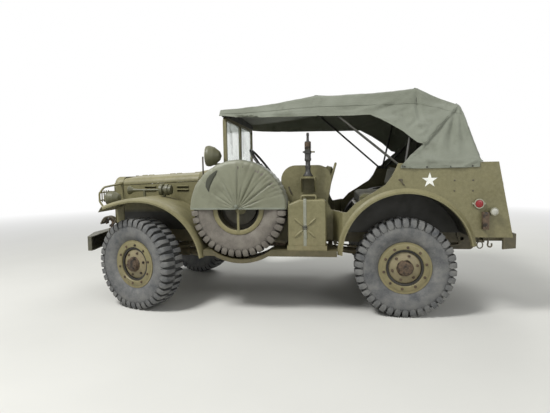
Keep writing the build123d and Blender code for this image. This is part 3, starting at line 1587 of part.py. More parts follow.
def driveline():
    """Gearbox, transfer case and the shafts to both axles."""
    gearbox = box(436, 860, -120, 120, 640 + SEAT_GAP + 10, 728)
    transfer = box(900, 1120, -250, 110, 560, 728)
    front_end = 275 + SEAT_GAP
    rear_end = REAR_X - 275 - SEAT_GAP
    shafts = [
        rod((front_end, BANJO_Y, HUB_Z), (front_end + 50, BANJO_Y, HUB_Z), 38),
        rod((front_end + 40, BANJO_Y, HUB_Z), (900, BANJO_Y, 600), 30),
        rod((1120, BANJO_Y, 600), (rear_end - 40, BANJO_Y, HUB_Z), 34),
        rod((rear_end - 50, BANJO_Y, HUB_Z), (rear_end, BANJO_Y, HUB_Z), 42),
    ]
    link = rod((850, 0, 690), (910, 0, 690), 30)
    return fuse([gearbox, transfer, link] + shafts)


def exhaust():
    """Pipe from the engine's right side, under the frame and out behind the right wheel."""
    pipe_r = 24.0
    inside_y = 285.0
    outside_y = 520.0
    low = 500.0
    route = [
        (250, 190 + SEAT_GAP, 870),
        (250, inside_y, 870),
        (250, inside_y, low),
        (1560, inside_y, low),
        (1730, outside_y, low),
        (1960, outside_y, low),
        (2280, outside_y, 640),
        (2720, outside_y, 640),
        (2950, outside_y, 590),
        (3350, outside_y + 20, 580),
    ]
    pipe = tube(route, pipe_r, 50)
    muffler = rod((1000, inside_y, low), (1500, inside_y, low), 66)
    return pipe + muffler


def fuel_tank():
    body = box(2830, 3250, -316, 316, 520, FRAME_TOP - SEAT_GAP)
    return fillet(body.edges().filter_by(Axis.Y), 40)


def lashing_eye():
    """Plate with a round hole, welded to the outside of the rail."""
    plate = box(EYE_X - 50, EYE_X + 50, RAIL_OUT_Y, RAIL_OUT_Y + EYE_THICK, EYE_Z + 20, EYE_Z + 80)
    ring = disc(EYE_X, RAIL_OUT_Y, RAIL_OUT_Y + EYE_THICK, EYE_Z, 38)
    return plate + ring


def rear_bumpers():
    low = 600.0
    high = 735.0
    rear = REAR_X + REAR_REACH
    outline = [
        (rear, 420.0),
        (rear, 700.0),
        (rear - 130, 760.0),
        (rear - 140, 752.0),
        (rear - 12, 694.0),
        (rear - 12, 420.0),
    ]
    face = plan_plate(outline, low, high)
    arm = box(RAIL_REAR_X, rear - 12, 425, 460, low + 30, high - 30)
    tie = box(RAIL_REAR_X - 40, RAIL_REAR_X, RAIL_OUT_Y, 460, low + 30, high - 30)
    return both_sides(fuse([face, arm, tie]))


PINTLE_Z = 668.0
PINTLE_R = 24.0            # round eye that a trailer's ring hangs in
PINTLE_THICK = 28.0
PINTLE_X = RAIL_REAR_X + 100.0


def tow_hook():
    """Plate on the rear cross member with a shank and a round upright eye."""
    half = PINTLE_THICK / 2
    plate = box(RAIL_REAR_X, RAIL_REAR_X + 14, -90, 90, PINTLE_Z - 55, PINTLE_Z + 55)
    shank = rod((RAIL_REAR_X + 10, 0, PINTLE_Z), (PINTLE_X - PINTLE_R - 6, 0, PINTLE_Z), 22)
    ring = disc(PINTLE_X, -half, half, PINTLE_Z, PINTLE_R + 16)
    return fuse([plate, shank, ring]) - disc(PINTLE_X, -half - 20, half + 20, PINTLE_Z, PINTLE_R)


# Writing

def save(node, shapes):
    if isinstance(shapes, list):
        solids = [solid for shape in shapes for solid in shape.solids()]
    else:
        solids = list(shapes.solids())
    moved = [Pos(-MIDDLE_X, 0, 0) * solid for solid in solids]
    whole = Compound(children=moved) if len(moved) > 1 else moved[0]
    export_step(whole, f"parts/{node}.step")
    print(node, len(moved))


def front_wheel_place(side):
    """Front wheel's middle at rest, as turned about its kingpin."""
    offset = side * (HALF_TRACK - KINGPIN_Y)
    angle = math.radians(REST_STEER)
    x = -offset * math.sin(angle)
    y = side * KINGPIN_Y + offset * math.cos(angle)
    return Pos(x, y, HUB_Z) * Rot(0, 0, REST_STEER)


def wheel_places():
    """Node ending and place of each road wheel, its outer face towards +Y before the place."""
    turn = Rot(0, 0, 180)
    return [
        ("front_left", front_wheel_place(-1) * turn),
        ("front_right", front_wheel_place(1)),
        ("rear_left", Pos(REAR_X, -HALF_TRACK, HUB_Z) * turn),
        ("rear_right", Pos(REAR_X, HALF_TRACK, HUB_Z)),
    ]


def main():
    os.makedirs("parts", exist_ok=True)
    save("frame_rails", frame_rails())
    save("cross_members", cross_members())
    save("front_bumper", front_bumper())
    save("rear_bumpers", rear_bumpers())
    save("tow_hook", tow_hook())
    save("front_axle", front_axle())
    save("rear_axle", rear_axle())
    save("leaf_springs", leaf_springs())
    save("engine_block", engine_block())
    save("driveline", driveline())
    save("exhaust", exhaust())
    save("fuel_tank", fuel_tank())
    save("radiator_shell", radiator_shell())
    save("radiator_core", radiator_core())
    save("front_guard", front_guard())
    save("front_hooks", front_hooks())
    save("headlamps", headlamps())
    save("horn", horn())
    save("hood_sides", hood_sides())
    save("hood_left", hood_half(-1))
    save("hood_right", hood_half(1))
    save("front_fenders", both_sides(front_fender()))
    save("running_boards", running_boards())
    save("cowl", cowl())
    save("floor_pan", floor_pan())
    save("controls", controls())
    save("body_side_left", body_side(-1))
    save("body_side_right", body_side(1))
    save("rear_panel", rear_wall())
    save("luggage_door", luggage_door())
    save("seat_frames", seat_frames())
    save("front_seats", front_seats())
    save("rear_seat", rear_seat())
    save("windshield_frame", windshield_frame())
    save("windshield_glass", windshield_glass())
    save("spotlight", spotlight())
    save("steering_column", steering_column())
    save("steering_wheel", steering_wheel())
    save("knuckle_left", knuckle(-1))
    save("knuckle_right", knuckle(1))
    save("tie_rod", tie_rod())
    save("top_bows", top_bows())
    save("canvas_top", canvas_top())
    save("side_carriers", side_carriers())
    save("spare_wheel", spare_place() * rim_at_origin(1))
    save("spare_tyre", spare_place() * tyre_at_origin())
    save("spare_cover", spare_cover())
    save("jerry_can", jerry_can())
    save("aerial_base", aerial_base())
    save("tail_lights", tail_lights())
    tyre = tyre_at_origin()
    wheel = wheel_at_origin()
    for ending, place in wheel_places():
        save(f"tyre_{ending}", place * tyre)
        save(f"wheel_{ending}", place * wheel)


main()
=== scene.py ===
import json
import math

import bmesh
import bpy
from mathutils import Matrix, Vector, noise
from mathutils.bvhtree import BVHTree


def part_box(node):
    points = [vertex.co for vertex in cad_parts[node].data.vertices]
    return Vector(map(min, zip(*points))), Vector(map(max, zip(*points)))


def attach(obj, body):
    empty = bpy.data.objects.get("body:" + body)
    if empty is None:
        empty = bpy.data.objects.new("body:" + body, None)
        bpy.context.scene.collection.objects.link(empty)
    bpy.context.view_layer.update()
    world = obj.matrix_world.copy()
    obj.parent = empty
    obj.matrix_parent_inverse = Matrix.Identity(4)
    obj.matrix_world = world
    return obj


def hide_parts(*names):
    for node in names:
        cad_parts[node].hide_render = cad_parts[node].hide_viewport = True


bl_info = {
    "name": "Army 4x4 command car",
    "version": (1, 0, 0),
    "blender": (4, 5, 0),
    "location": "View3D > Sidebar > Command car",
    "description": "Dresses the packed frame of an open army car with its canvas top up",
    "category": "Object",
}

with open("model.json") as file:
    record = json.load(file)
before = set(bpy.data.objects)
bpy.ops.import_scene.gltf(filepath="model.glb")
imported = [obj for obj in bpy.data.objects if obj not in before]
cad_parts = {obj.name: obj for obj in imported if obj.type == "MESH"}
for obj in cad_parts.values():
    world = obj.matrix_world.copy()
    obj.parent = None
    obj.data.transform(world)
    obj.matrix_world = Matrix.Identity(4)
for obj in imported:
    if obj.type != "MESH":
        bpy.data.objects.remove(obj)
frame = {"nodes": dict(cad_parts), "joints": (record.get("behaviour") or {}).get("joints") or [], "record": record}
NODES = frame["nodes"]
JOINTS = {joint["name"]: joint for joint in frame["joints"]}
FRONT_AXLE_X = JOINTS["steer_left"]["pos_m"][0]

# Places

def at(x, y, z):
    """Point from car measures: mm behind the front axle, mm to the right, mm above the ground."""
    return Vector((FRONT_AXLE_X + x / 1000, y / 1000, z / 1000))


def mm(length):
    """A length in millimetres, in metres."""
    return length / 1000


# Meshes

def piece_as_is(name, shape, material, smooth=True):
    """Object from a bmesh, its faces turned as they are."""
    mesh = bpy.data.meshes.new(name)
    shape.to_mesh(mesh)
    shape.free()
    for polygon in mesh.polygons:
        polygon.use_smooth = smooth
    mesh.update()
    piece = bpy.data.objects.new(name, mesh)
    bpy.context.scene.collection.objects.link(piece)
    mesh.materials.append(material)
    return piece


def piece_from_bmesh(name, shape, material, smooth=True):
    """Object from a bmesh, its faces turned outwards."""
    bmesh.ops.recalc_face_normals(shape, faces=shape.faces)
    return piece_as_is(name, shape, material, smooth)


def settle(piece, body):
    """The piece rides on a body."""
    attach(piece, body)
    return piece


def apply_modifiers(piece):
    """Writes a piece's modifiers into its mesh."""
    graph = bpy.context.evaluated_depsgraph_get()
    done = bpy.data.meshes.new_from_object(piece.evaluated_get(graph))
    piece.modifiers.clear()
    old = piece.data
    piece.data = done
    bpy.data.meshes.remove(old)


def thicken(piece, thick, offset=0):
    """Gives a sheet its thickness in mm."""
    solid = piece.modifiers.new("thickness", "SOLIDIFY")
    solid.thickness = mm(thick)
    solid.offset = offset
    apply_modifiers(piece)


def soften(piece, degrees):
    """Smooth faces, with edges sharper than an angle kept crisp."""
    shape = bmesh.new()
    shape.from_mesh(piece.data)
    limit = math.radians(degrees)
    for face in shape.faces:
        face.smooth = True
    for edge in shape.edges:
        edge.smooth = len(edge.link_faces) == 2 and edge.calc_face_angle(0) < limit
    shape.to_mesh(piece.data)
    shape.free()


def add_piece(name, shape, key, body="car", crisp=34):
    """Finished piece from a bmesh: its finish, its body and its crisp edges' angle."""
    piece = piece_from_bmesh(name, shape, finish(key))
    soften(piece, crisp)
    return settle(piece, body)


def frame_along(direction):
    """Two directions square to a given one."""
    axis = Vector(direction).normalized()
    helper = Vector((0, 0, 1)) if abs(axis.z) < 0.9 else Vector((1, 0, 0))
    side = axis.cross(helper).normalized()
    return side, axis.cross(side).normalized()


def add_ring(shape, centre, side, up, radius, count):
    """Ring of vertices round a centre."""
    ring = []
    for number in range(count):
        angle = 2 * math.pi * number / count
        ring.append(shape.verts.new(centre + radius * (math.cos(angle) * side + math.sin(angle) * up)))
    return ring


def add_grid(shape, rows):
    """Faces between rows of vertices."""
    for first, second in zip(rows, rows[1:]):
        for place in range(len(first) - 1):
            shape.faces.new((first[place], first[place + 1], second[place + 1], second[place]))


def loft(shape, rings, capped=False):
    """Faces between each ring of vertices and the next, with the two ends capped on request."""
    for first, second in zip(rings, rings[1:]):
        for number in range(len(first)):
            after = (number + 1) % len(first)
            shape.faces.new((first[number], first[after], second[after], second[number]))
    if capped:
        shape.faces.new(rings[0])
        shape.faces.new(list(reversed(rings[-1])))


# The forms below take their places in metres and their sizes in mm

def add_turned(shape, origin, axis, profile, count):
    """Turned form with capped ends: profile rows are a distance along the axis and a radius."""
    axis = Vector(axis).normalized()
    side, up = frame_along(axis)
    rings = []
    for along, radius in profile:
        rings.append(add_ring(shape, origin + axis * mm(along), side, up, mm(radius), count))
    loft(shape, rings, True)


def add_hoop(shape, origin, axis, outline, count):
    """Ring round an axis from a closed outline: distance along the axis and radius."""
    axis = Vector(axis).normalized()
    side, up = frame_along(axis)
    rings = []
    for along, radius in outline:
        rings.append(add_ring(shape, origin + axis * mm(along), side, up, mm(radius), count))
    loft(shape, rings + rings[:1])


def add_bolt(shape, origin, axis, radius, height):
    """Hexagon head with its washer."""
    axis = Vector(axis).normalized()
    side, up = frame_along(axis)
    washer = [(0, 1.35), (0.22, 1.35), (0.22, 0.9)]
    head = [(0.2, 1), (0.85, 1), (1, 0.82)]
    for rows, count in ((washer, 12), (head, 6)):
        rings = []
        for along, share in rows:
            centre = origin + axis * mm(height * along)
            rings.append(add_ring(shape, centre, side, up, mm(radius * share), count))
        loft(shape, rings)
    shape.faces.new(list(reversed(rings[-1])))


def add_tube(shape, points, radius, count=10, closed=False):
    """Round tube through a list of points; the radius may be a list with one for each."""
    points = [Vector(p) for p in points]
    rings = []
    total = len(points)
    last_side = None
    for number, point in enumerate(points):
        before = points[number - 1] if number or closed else point
        after = points[(number + 1) % total] if number < total - 1 or closed else point
        direction = (after - before).normalized()
        if last_side is None:
            side, up = frame_along(direction)
        else:
            side = (last_side - direction * last_side.dot(direction)).normalized()
            up = direction.cross(side).normalized()
        last_side = side
        size = radius[number] if isinstance(radius, (list, tuple)) else radius
        rings.append(add_ring(shape, point, side, up, mm(size), count))
    if closed:
        loft(shape, rings + rings[:1])
    else:
        loft(shape, rings, True)


def add_strip(shape, points, normals, width, thick):
    """Flat strap through points: normals point out of what it lies on."""
    rings = []
    half = mm(width) / 2
    for number, low in enumerate(points):
        before = points[max(number - 1, 0)]
        after = points[min(number + 1, len(points) - 1)]
        out = Vector(normals[number]).normalized()
        across = (after - before).normalized().cross(out).normalized()
        high = low + out * mm(thick)
        rings.append([
            shape.verts.new(low - across * half),
            shape.verts.new(high - across * half * 0.96),
            shape.verts.new(high + across * half * 0.96),
            shape.verts.new(low + across * half),
        ])
    loft(shape, rings, True)


def add_block(shape, centre, size, turn=None, edge=0):
    """Block with chamfered edges."""
    verts = bmesh.ops.create_cube(shape, size=1.0)["verts"]
    bmesh.ops.scale(shape, vec=Vector([mm(length) for length in size]), verts=verts)
    if edge > 0:
        edges = list({link for vert in verts for link in vert.link_edges})
        bevelled = bmesh.ops.bevel(
            shape, geom=edges, offset=mm(edge), segments=2, affect="EDGES", profile=0.6
        )
        verts = bevelled["verts"]
    if turn is not None:
        bmesh.ops.transform(shape, matrix=turn, verts=verts)
    bmesh.ops.translate(shape, vec=Vector(centre), verts=verts)


def smooth_line(points, steps):
    """Rounded line through the middles of a list of points, kept at both ends."""
    points = [Vector(p) for p in points]
    line = [points[0]]
    for number in range(1, len(points) - 1):
        start = points[0] if number == 1 else (points[number - 1] + points[number]) / 2
        end = points[-1] if number == len(points) - 2 else (points[number] + points[number + 1]) / 2
        for step in range(1, steps + 1):
            t = step / steps
            line.append((1 - t) ** 2 * start + 2 * t * (1 - t) * points[number] + t * t * end)
    return line


# Materials

def linear(code):
    """Linear colour from an sRGB hex value."""
    channels = []
    for start in (0, 2, 4):
        value = int(code[start:start + 2], 16) / 255
        channels.append(value / 12.92 if value <= 0.04045 else ((value + 0.055) / 1.055) ** 2.4)
    return (*channels, 1.0)


# Inputs of a Map Range node, in the order that its rows give them
RANGE = ("Value", "From Min", "From Max", "To Min", "To Max")


def connect(tree, node, inputs):
    """Gives a node's inputs their values, or links from another node's output."""
    for socket, value in dict(inputs).items():
        if isinstance(value, bpy.types.NodeSocket):
            tree.links.new(value, node.inputs[socket])
        else:
            node.inputs[socket].default_value = value


def add_node(tree, kind, inputs=(), **settings):
    """Adds a node with its settings and its inputs."""
    made = tree.nodes.new(kind)
    for name, value in settings.items():
        setattr(made, name, value)
    connect(tree, made, inputs)
    return made


def per_metre(size_mm):
    """Texture scale whose features are about this many millimetres across."""
    return 1000.0 / size_mm


def wave_scale(pitch_mm):
    """Scale of a Wave texture with this distance between its crests."""
    return math.pi / 10 / mm(pitch_mm)


def start_material(name):
    """New material with its shader and its texture coordinates."""
    material = bpy.data.materials.new(name)
    material.use_nodes = True
    tree = material.node_tree
    tree.nodes.clear()
    shader = add_node(tree, "ShaderNodeBsdfPrincipled")
    add_node(tree, "ShaderNodeOutputMaterial", {"Surface": shader.outputs["BSDF"]})
    return material, tree, shader, add_node(tree, "ShaderNodeTexCoord").outputs["Object"]


def add_layer(tree, coords, below, over, size, low, high, most, detail=4.0, rough=0.55):
    """Lays a colour over another in patches of a size in mm; returns the colour and its share."""
    grain = {"Vector": coords, "Scale": per_metre(size), "Detail": detail, "Roughness": rough}
    patches = add_node(tree, "ShaderNodeTexNoise", grain)
    share = add_node(tree, "ShaderNodeMapRange", zip(RANGE, (patches.outputs["Fac"], low, high, 0, most)))
    mixed = add_node(tree, "ShaderNodeMix", {0: share.outputs["Result"], 6: below, 7: over}, data_type="RGBA")
    return mixed.outputs[2], share.outputs["Result"]


def add_relief(tree, coords, size, detail, rough, strength, deep, under=None):
    """Lumps of a size and a depth in mm, laid over another relief if one is given."""
    grain = {"Vector": coords, "Scale": per_metre(size), "Detail": detail, "Roughness": rough}
    lumps = add_node(tree, "ShaderNodeTexNoise", grain)
    bumps = add_node(
        tree, "ShaderNodeBump", {"Height": lumps.outputs["Fac"], "Strength": strength, "Distance": mm(deep)}
    )
    if under is not None:
        connect(tree, bumps, {"Normal": under})
    return bumps.outputs["Normal"]


def add_painted_shade(tree, place, colour, half, height, station):
    """Painted shade: near-black on faces inside a half width, below a height and behind a station, all in metres.
    """
    across = add_node(tree, "ShaderNodeMath", {0: place.outputs["Y"]}, operation="ABSOLUTE")
    shade_share = 1.0
    for value, start, end in (
        (across.outputs[0], half, half - 0.006),
        (place.outputs["Z"], height + 0.02, height - 0.02),
        (place.outputs["X"], station, station + 0.02),
    ):
        share = add_node(tree, "ShaderNodeMapRange", zip(RANGE, (value, start, end)))
        both = {0: shade_share, 1: share.outputs["Result"]}
        shade_share = add_node(tree, "ShaderNodeMath", both, operation="MULTIPLY").outputs[0]
    # near-black colour of the painted shade
    mixed = add_node(tree, "ShaderNodeMix", {0: shade_share, 6: colour, 7: linear("23221a")}, data_type="RGBA")
    return mixed.outputs[2]


def enamel_on_steel(name, base, faded, dust, metal, dirty, painted_shade=None):
    """Sprayed semi-matt enamel on pressed steel: a dull sheen, faded patches, dust on what faces up,
    mud low down, small chips through to bare metal, faint dents, orange peel, and painted shade in a given zone."""
    material, tree, shader, coords = start_material(name)
    colour, _ = add_layer(tree, coords, base, faded, 420, 0.35, 0.68, 1.0)
    colour, _ = add_layer(tree, coords, colour, linear(dust), 28, 0.3, 0.75, 0.34, 5.0, 0.7)
    facing = add_node(tree, "ShaderNodeNewGeometry")
    up = add_node(tree, "ShaderNodeSeparateXYZ", {"Vector": facing.outputs["Normal"]})
    settled = add_node(tree, "ShaderNodeMapRange", zip(RANGE, (up.outputs["Z"], 0.3, 1, 0, 0.42)))
    colour, _ = add_layer(tree, coords, colour, linear(dust), 130, 0.2, 0.6, settled.outputs["Result"])
    place = add_node(tree, "ShaderNodeSeparateXYZ", {"Vector": coords})
    splashed = add_node(tree, "ShaderNodeMapRange", zip(RANGE, (place.outputs["Z"], 0.95, 0.35, 0, dirty)))
    mud = linear("8a7a5c")
    colour, _ = add_layer(tree, coords, colour, mud, 60, 0.3, 0.62, splashed.outputs["Result"], 6.0, 0.7)
    # painted shade: faces in the given zone go near-black, for the shade in wheel houses and under the nose
    if painted_shade:
        colour = add_painted_shade(tree, place, colour, *painted_shade)
    rubbed = add_node(tree, "ShaderNodeTexNoise", {"Vector": coords, "Scale": per_metre(160), "Detail": 2.0})
    worn = add_node(tree, "ShaderNodeMapRange", zip(RANGE, (rubbed.outputs["Fac"], 0.52, 0.62, 0, 0.75)))
    bare = linear(metal)
    colour, _ = add_layer(tree, coords, colour, bare, 11, 0.73, 0.76, worn.outputs["Result"], 2.0, 0.5)
    grain = {"Vector": coords, "Scale": per_metre(75), "Detail": 5.0, "Roughness": 0.65}
    sheen = add_node(tree, "ShaderNodeTexNoise", grain)
    gloss = add_node(tree, "ShaderNodeMapRange", zip(RANGE, (sheen.outputs["Fac"], 0.3, 0.7, 0.38, 0.64)))
    dents = add_relief(tree, coords, 240, 1.0, 0.5, 0.25, 12)
    peel = add_relief(tree, coords, 4, 2.0, 0.5, 0.12, 0.6, dents)
    connect(tree, shader, {"Base Color": colour, "Roughness": gloss.outputs["Result"], "Normal": peel})
    return material


def cotton_duck(name, base, faded, stain_and_weave_shade, pitch, fuzz, gloss):
    """Woven cotton duck, proofed and weathered: plain weave, pale where sun and folds rub it,
    darker water stains, painted shade between the threads, and a soft fuzz in place of a shine."""
    material, tree, shader, coords = start_material(name)
    colour, _ = add_layer(tree, coords, base, faded, 520, 0.34, 0.66, 1.0, 5.0, 0.6)
    colour, _ = add_layer(tree, coords, colour, linear(stain_and_weave_shade), 170, 0.55, 0.72, 0.5, 6.0, 0.62)
    colour, _ = add_layer(tree, coords, colour, faded, 9, 0.35, 0.75, 0.3, 4.0, 0.7)
    # the real threads are under 1 mm apart and are drawn coarser so that they show
    weave = 1.0
    for direction in ("X", "Y", "Z"):
        wave = {"Vector": coords, "Scale": wave_scale(pitch), "Distortion": 0.5}
        threads = add_node(tree, "ShaderNodeTexWave", wave, bands_direction=direction)
        both = {0: weave, 1: threads.outputs["Fac"]}
        weave = add_node(tree, "ShaderNodeMath", both, operation="MULTIPLY").outputs[0]
    # painted shade: darker between the threads, towards the stain colour
    shade = add_node(tree, "ShaderNodeMapRange", zip(RANGE, (weave, 0, 0.7, 0.22, 0)))
    shaded = {0: shade.outputs["Result"], 6: colour, 7: linear(stain_and_weave_shade)}
    woven = add_node(tree, "ShaderNodeMix", shaded, data_type="RGBA")
    rumple = add_relief(tree, coords, 90, 4.0, 0.6, 0.4, 12)
    ridges = add_node(
        tree, "ShaderNodeBump", {"Height": weave, "Strength": 0.3, "Distance": mm(1.2), "Normal": rumple}
    )
    connect(tree, shader, {
        "Base Color": woven.outputs[2], "Roughness": gloss, "Sheen Weight": fuzz, "Sheen Roughness": 0.45,
        "Normal": ridges.outputs["Normal"],
    })
    return material


def moulded_rubber(name, base, dust, dusty):
    """Moulded natural rubber gone grey: dead matt, with dry dust in the tread."""
    material, tree, shader, coords = start_material(name)
    colour, _ = add_layer(tree, coords, linear(base), linear(dust), 120, 0.3, 0.7, dusty, 6.0, 0.65)
    colour, _ = add_layer(tree, coords, colour, linear(dust), 9, 0.5, 0.8, 0.4, 4.0, 0.7)
    grain = add_relief(tree, coords, 5, 5.0, 0.7, 0.3, 1)
    connect(tree, shader, {"Base Color": colour, "Roughness": 0.82, "Normal": grain})
    return material


def rusty_steel(name, base, rust, oil):
    """Forged steel left bare and handled with grease: brown rust under dark wet patches."""
    material, tree, shader, coords = start_material(name)
    colour, _ = add_layer(tree, coords, linear(base), linear(rust), 22, 0.35, 0.65, 1.0, 6.0, 0.7)
    colour, wet = add_layer(tree, coords, colour, linear(oil), 60, 0.5, 0.6, 0.85, 3.0)
    gloss = add_node(tree, "ShaderNodeMapRange", zip(RANGE, (wet, 0, 0.85, 0.75, 0.35)))
    connect(tree, shader, {
        "Base Color": colour, "Roughness": gloss.outputs["Result"], "Metallic": 0.35,
        "Normal": add_relief(tree, coords, 6, 6.0, 0.75, 0.5, 1.5),
    })
    return material


def sheet_glass(name):
    """Flat drawn glass with a film of dust: clear, faintly green, a little hazed."""
    material, tree, shader, coords = start_material(name)
    grain = {"Vector": coords, "Scale": per_metre(260), "Detail": 5.0, "Roughness": 0.6}
    film = add_node(tree, "ShaderNodeTexNoise", grain)
    haze = add_node(tree, "ShaderNodeMapRange", zip(RANGE, (film.outputs["Fac"], 0.3, 0.7, 0.02, 0.2)))
    connect(tree, shader, {
        "Base Color": linear("e6ece6"), "Roughness": haze.outputs["Result"], "Transmission Weight": 0.94,
        "IOR": 1.5,
    })
    return material


def pressed_lens(name, code, deep, see_through):
    """Pressed glass lens: deep glossy colour with small prisms moulded inside it."""
    material, tree, shader, coords = start_material(name)
    prisms = add_node(tree, "ShaderNodeTexVoronoi", {"Vector": coords, "Scale": per_metre(7)})
    prism = prisms.outputs["Distance"]
    tint = add_node(tree, "ShaderNodeMapRange", zip(RANGE, (prism, 0, 0.7, 0, 0.45)))
    tinted = {0: tint.outputs["Result"], 6: linear(code), 7: linear(deep)}
    colour = add_node(tree, "ShaderNodeMix", tinted, data_type="RGBA")
    bumps = add_node(tree, "ShaderNodeBump", {"Height": prism, "Strength": 0.5, "Distance": mm(1)})
    connect(tree, shader, {
        "Base Color": colour.outputs[2], "Roughness": 0.12, "Transmission Weight": see_through,
        "Normal": bumps.outputs["Normal"],
    })
    return material


def stencilled_paint(name, code, under):
    """Thick white paint dabbed through a stencil over the enamel, rubbed thin in places."""
    material, tree, shader, coords = start_material(name)
    colour, _ = add_layer(tree, coords, linear(code), linear(under), 14, 0.56, 0.72, 0.5, 6.0, 0.7)
    brush = add_relief(tree, coords, 4, 3.0, 0.5, 0.15, 0.5)
    connect(tree, shader, {"Base Color": colour, "Roughness": 0.6, "Normal": brush})
    return material


def hard_rubber(name, code, worn):
    """Hard moulded rubber of a steering wheel: black, satin, greyed where it is gripped."""
    material, tree, shader, coords = start_material(name)
    colour, rubbed = add_layer(tree, coords, linear(code), linear(worn), 40, 0.45, 0.7, 0.5, 5.0, 0.6)
    gloss = add_node(tree, "ShaderNodeMapRange", zip(RANGE, (rubbed, 0, 0.5, 0.34, 0.6)))
    connect(tree, shader, {"Base Color": colour, "Roughness": gloss.outputs["Result"]})
    return material


def cotton_webbing(name, base, dark):
    """Woven cotton webbing: ribs across the strap, darker in their hollows as painted shade, matt and a little
    frayed.
    """
    material, tree, shader, coords = start_material(name)
    wave = {"Vector": coords, "Scale": wave_scale(4.0), "Distortion": 0.6}
    ribs = add_node(tree, "ShaderNodeTexWave", wave, bands_direction="Z").outputs["Fac"]
    # painted shade: the dark colour in the hollows between the ribs
    woven = add_node(tree, "ShaderNodeMix", {0: ribs, 6: linear(dark), 7: linear(base)}, data_type="RGBA")
    colour, _ = add_layer(tree, coords, woven.outputs[2], linear(base), 30, 0.4, 0.7, 0.5, 5.0)
    ridge = add_node(tree, "ShaderNodeBump", {"Height": ribs, "Strength": 0.4, "Distance": mm(1)})
    connect(tree, shader, {"Base Color": colour, "Roughness": 0.9, "Normal": ridge.outputs["Normal"]})
    return material


# Finish: function, name of the material, then what the function takes
FINISH_TABLE = {
    "chassis_paint": (enamel_on_steel, "chassis_enamel", "3a3a2b", "46452f", "6d6650", "4a4238", 0.6),
    # darker olive for the front bumper: painted shade
    "bumper_paint": (enamel_on_steel, "bumper_enamel", "35372f", "44463a", "6d6c5c", "575049", 0.3),
    "wheel_paint": (enamel_on_steel, "wheel_enamel", "676241", "77714d", "958d6b", "5a4a38", 0.35),
    "lamp_paint": (enamel_on_steel, "lamp_enamel", "484833", "53533d", "747159", "6a5f4c", 0.2),
    "board_paint": (enamel_on_steel, "step_enamel", "3d3a22", "46422b", "545038", "4b4435", 0.3),
    # near-black enamel for painted shade in the wheels' gaps
    "recess_black": (enamel_on_steel, "recess_enamel", "131310", "191915", "26251e", "1d1b18", 0.05),
    "hub_paint": (enamel_on_steel, "dusty_hub_enamel", "7d7658", "6a5f45", "a39a7c", "4c3626", 0.3),
    "rim_paint": (enamel_on_steel, "lamp_rim_enamel", "8a8873", "9a9886", "b0ad9c", "6a5f4c", 0.1),
    "gun_steel": (enamel_on_steel, "dark_grey_enamel", "232321", "2c2b29", "3e3c36", "4b3a2c", 0.1),
    "bolt_steel": (enamel_on_steel, "dark_bolt_enamel", "3a3528", "4a4334", "665f4c", "5d4632", 0.2),
    # darkened wheel paint for the spare: painted shade under its cover
    "dark_wheel": (enamel_on_steel, "spare_wheel_painted_shade_enamel", "2e2c20", "39362a", "55503d", "4a3a2c", 0.3),
    # black for black parts, and painted shade on the top's bows
    "black_steel": (enamel_on_steel, "black_enamel", "1f201d", "2b2c27", "5d5a4c", "4a4640", 0.2),
    "cover_canvas": (cotton_duck, "cover_cotton_duck", "6d6e59", "828470", "4e4f3d", 5.0, 0.3, 0.44),
    "patch_canvas": (cotton_duck, "patch_cotton_duck", "3b3d33", "46483c", "2a2b24", 5.0, 0.1, 0.9),
    "seat_cloth": (cotton_duck, "seat_cotton_duck", "5d5a3c", "6b6848", "46442f", 4.0, 0.2, 0.88),
    "tyre": (moulded_rubber, "tyre_rubber", "45474a", "84837e", 0.75),
    "spare_rubber": (moulded_rubber, "spare_tyre_rubber", "544e48", "858075", 0.7),
    # darker rubber for the tread's floor and the lugs' sides: painted shade between the lugs
    "tyre_groove": (moulded_rubber, "tyre_groove_rubber", "2c2d2e", "5c5b56", 0.5),
    "spare_groove_shade": (moulded_rubber, "spare_groove_rubber", "2c2824", "5d574c", 0.5),
    "bare_steel": (rusty_steel, "rusty_oily_steel", "4b4136", "6b5947", "1c1916"),
    "glass": (sheet_glass, "windshield_glass"),
    "red_lens": (pressed_lens, "red_reflector_glass", "9c1a1c", "3a0c0e", 0.0),
    "clear_lens": (pressed_lens, "lamp_lens_glass", "dcdccf", "b9b7a8", 0.35),
    "white_paint": (stencilled_paint, "white_star_paint", "e9e9e2", "6a6749"),
    "wheel_plastic": (hard_rubber, "steering_wheel_rubber", "23221f", "4b4942"),
    "webbing": (cotton_webbing, "strap_webbing", "98998a", "6f7064"),
}
HEX_COLOURS = (enamel_on_steel, cotton_duck)
# Olive paint, with the half width, height and station of its painted shade in metres: near-black that stands in
# for the shade in the wheel houses and under the nose
PAINTED_SHADE_ZONES = {
    "olive_paint": None,
    "quarter_paint": (0.942, 1.13, 0.575),
    "nose_paint": (2.0, 0.93, -3.0),
}
MADE = {}


def finish(key):
    """Material of a finish, made the first time that a piece asks for it."""
    if key not in MADE:
        look = bpy.context.scene.car_looks
        if key in PAINTED_SHADE_ZONES:
            paint = (tuple(look.paint), tuple(look.paint_faded), "9b9470", "6c6558", 0.45, PAINTED_SHADE_ZONES[key])
            MADE[key] = enamel_on_steel(key.replace("_paint", "_enamel"), *paint)
        elif key == "canvas":
            cloth = (tuple(look.canvas), tuple(look.canvas_faded), "4a4c3c", 5.0, 0.25, 0.88)
            MADE[key] = cotton_duck("top_cotton_duck", *cloth)
        else:
            maker, name, *rest = FINISH_TABLE[key]
            if maker in HEX_COLOURS:
                rest[:2] = linear(rest[0]), linear(rest[1])
            MADE[key] = maker(name, *rest)
    return MADE[key]


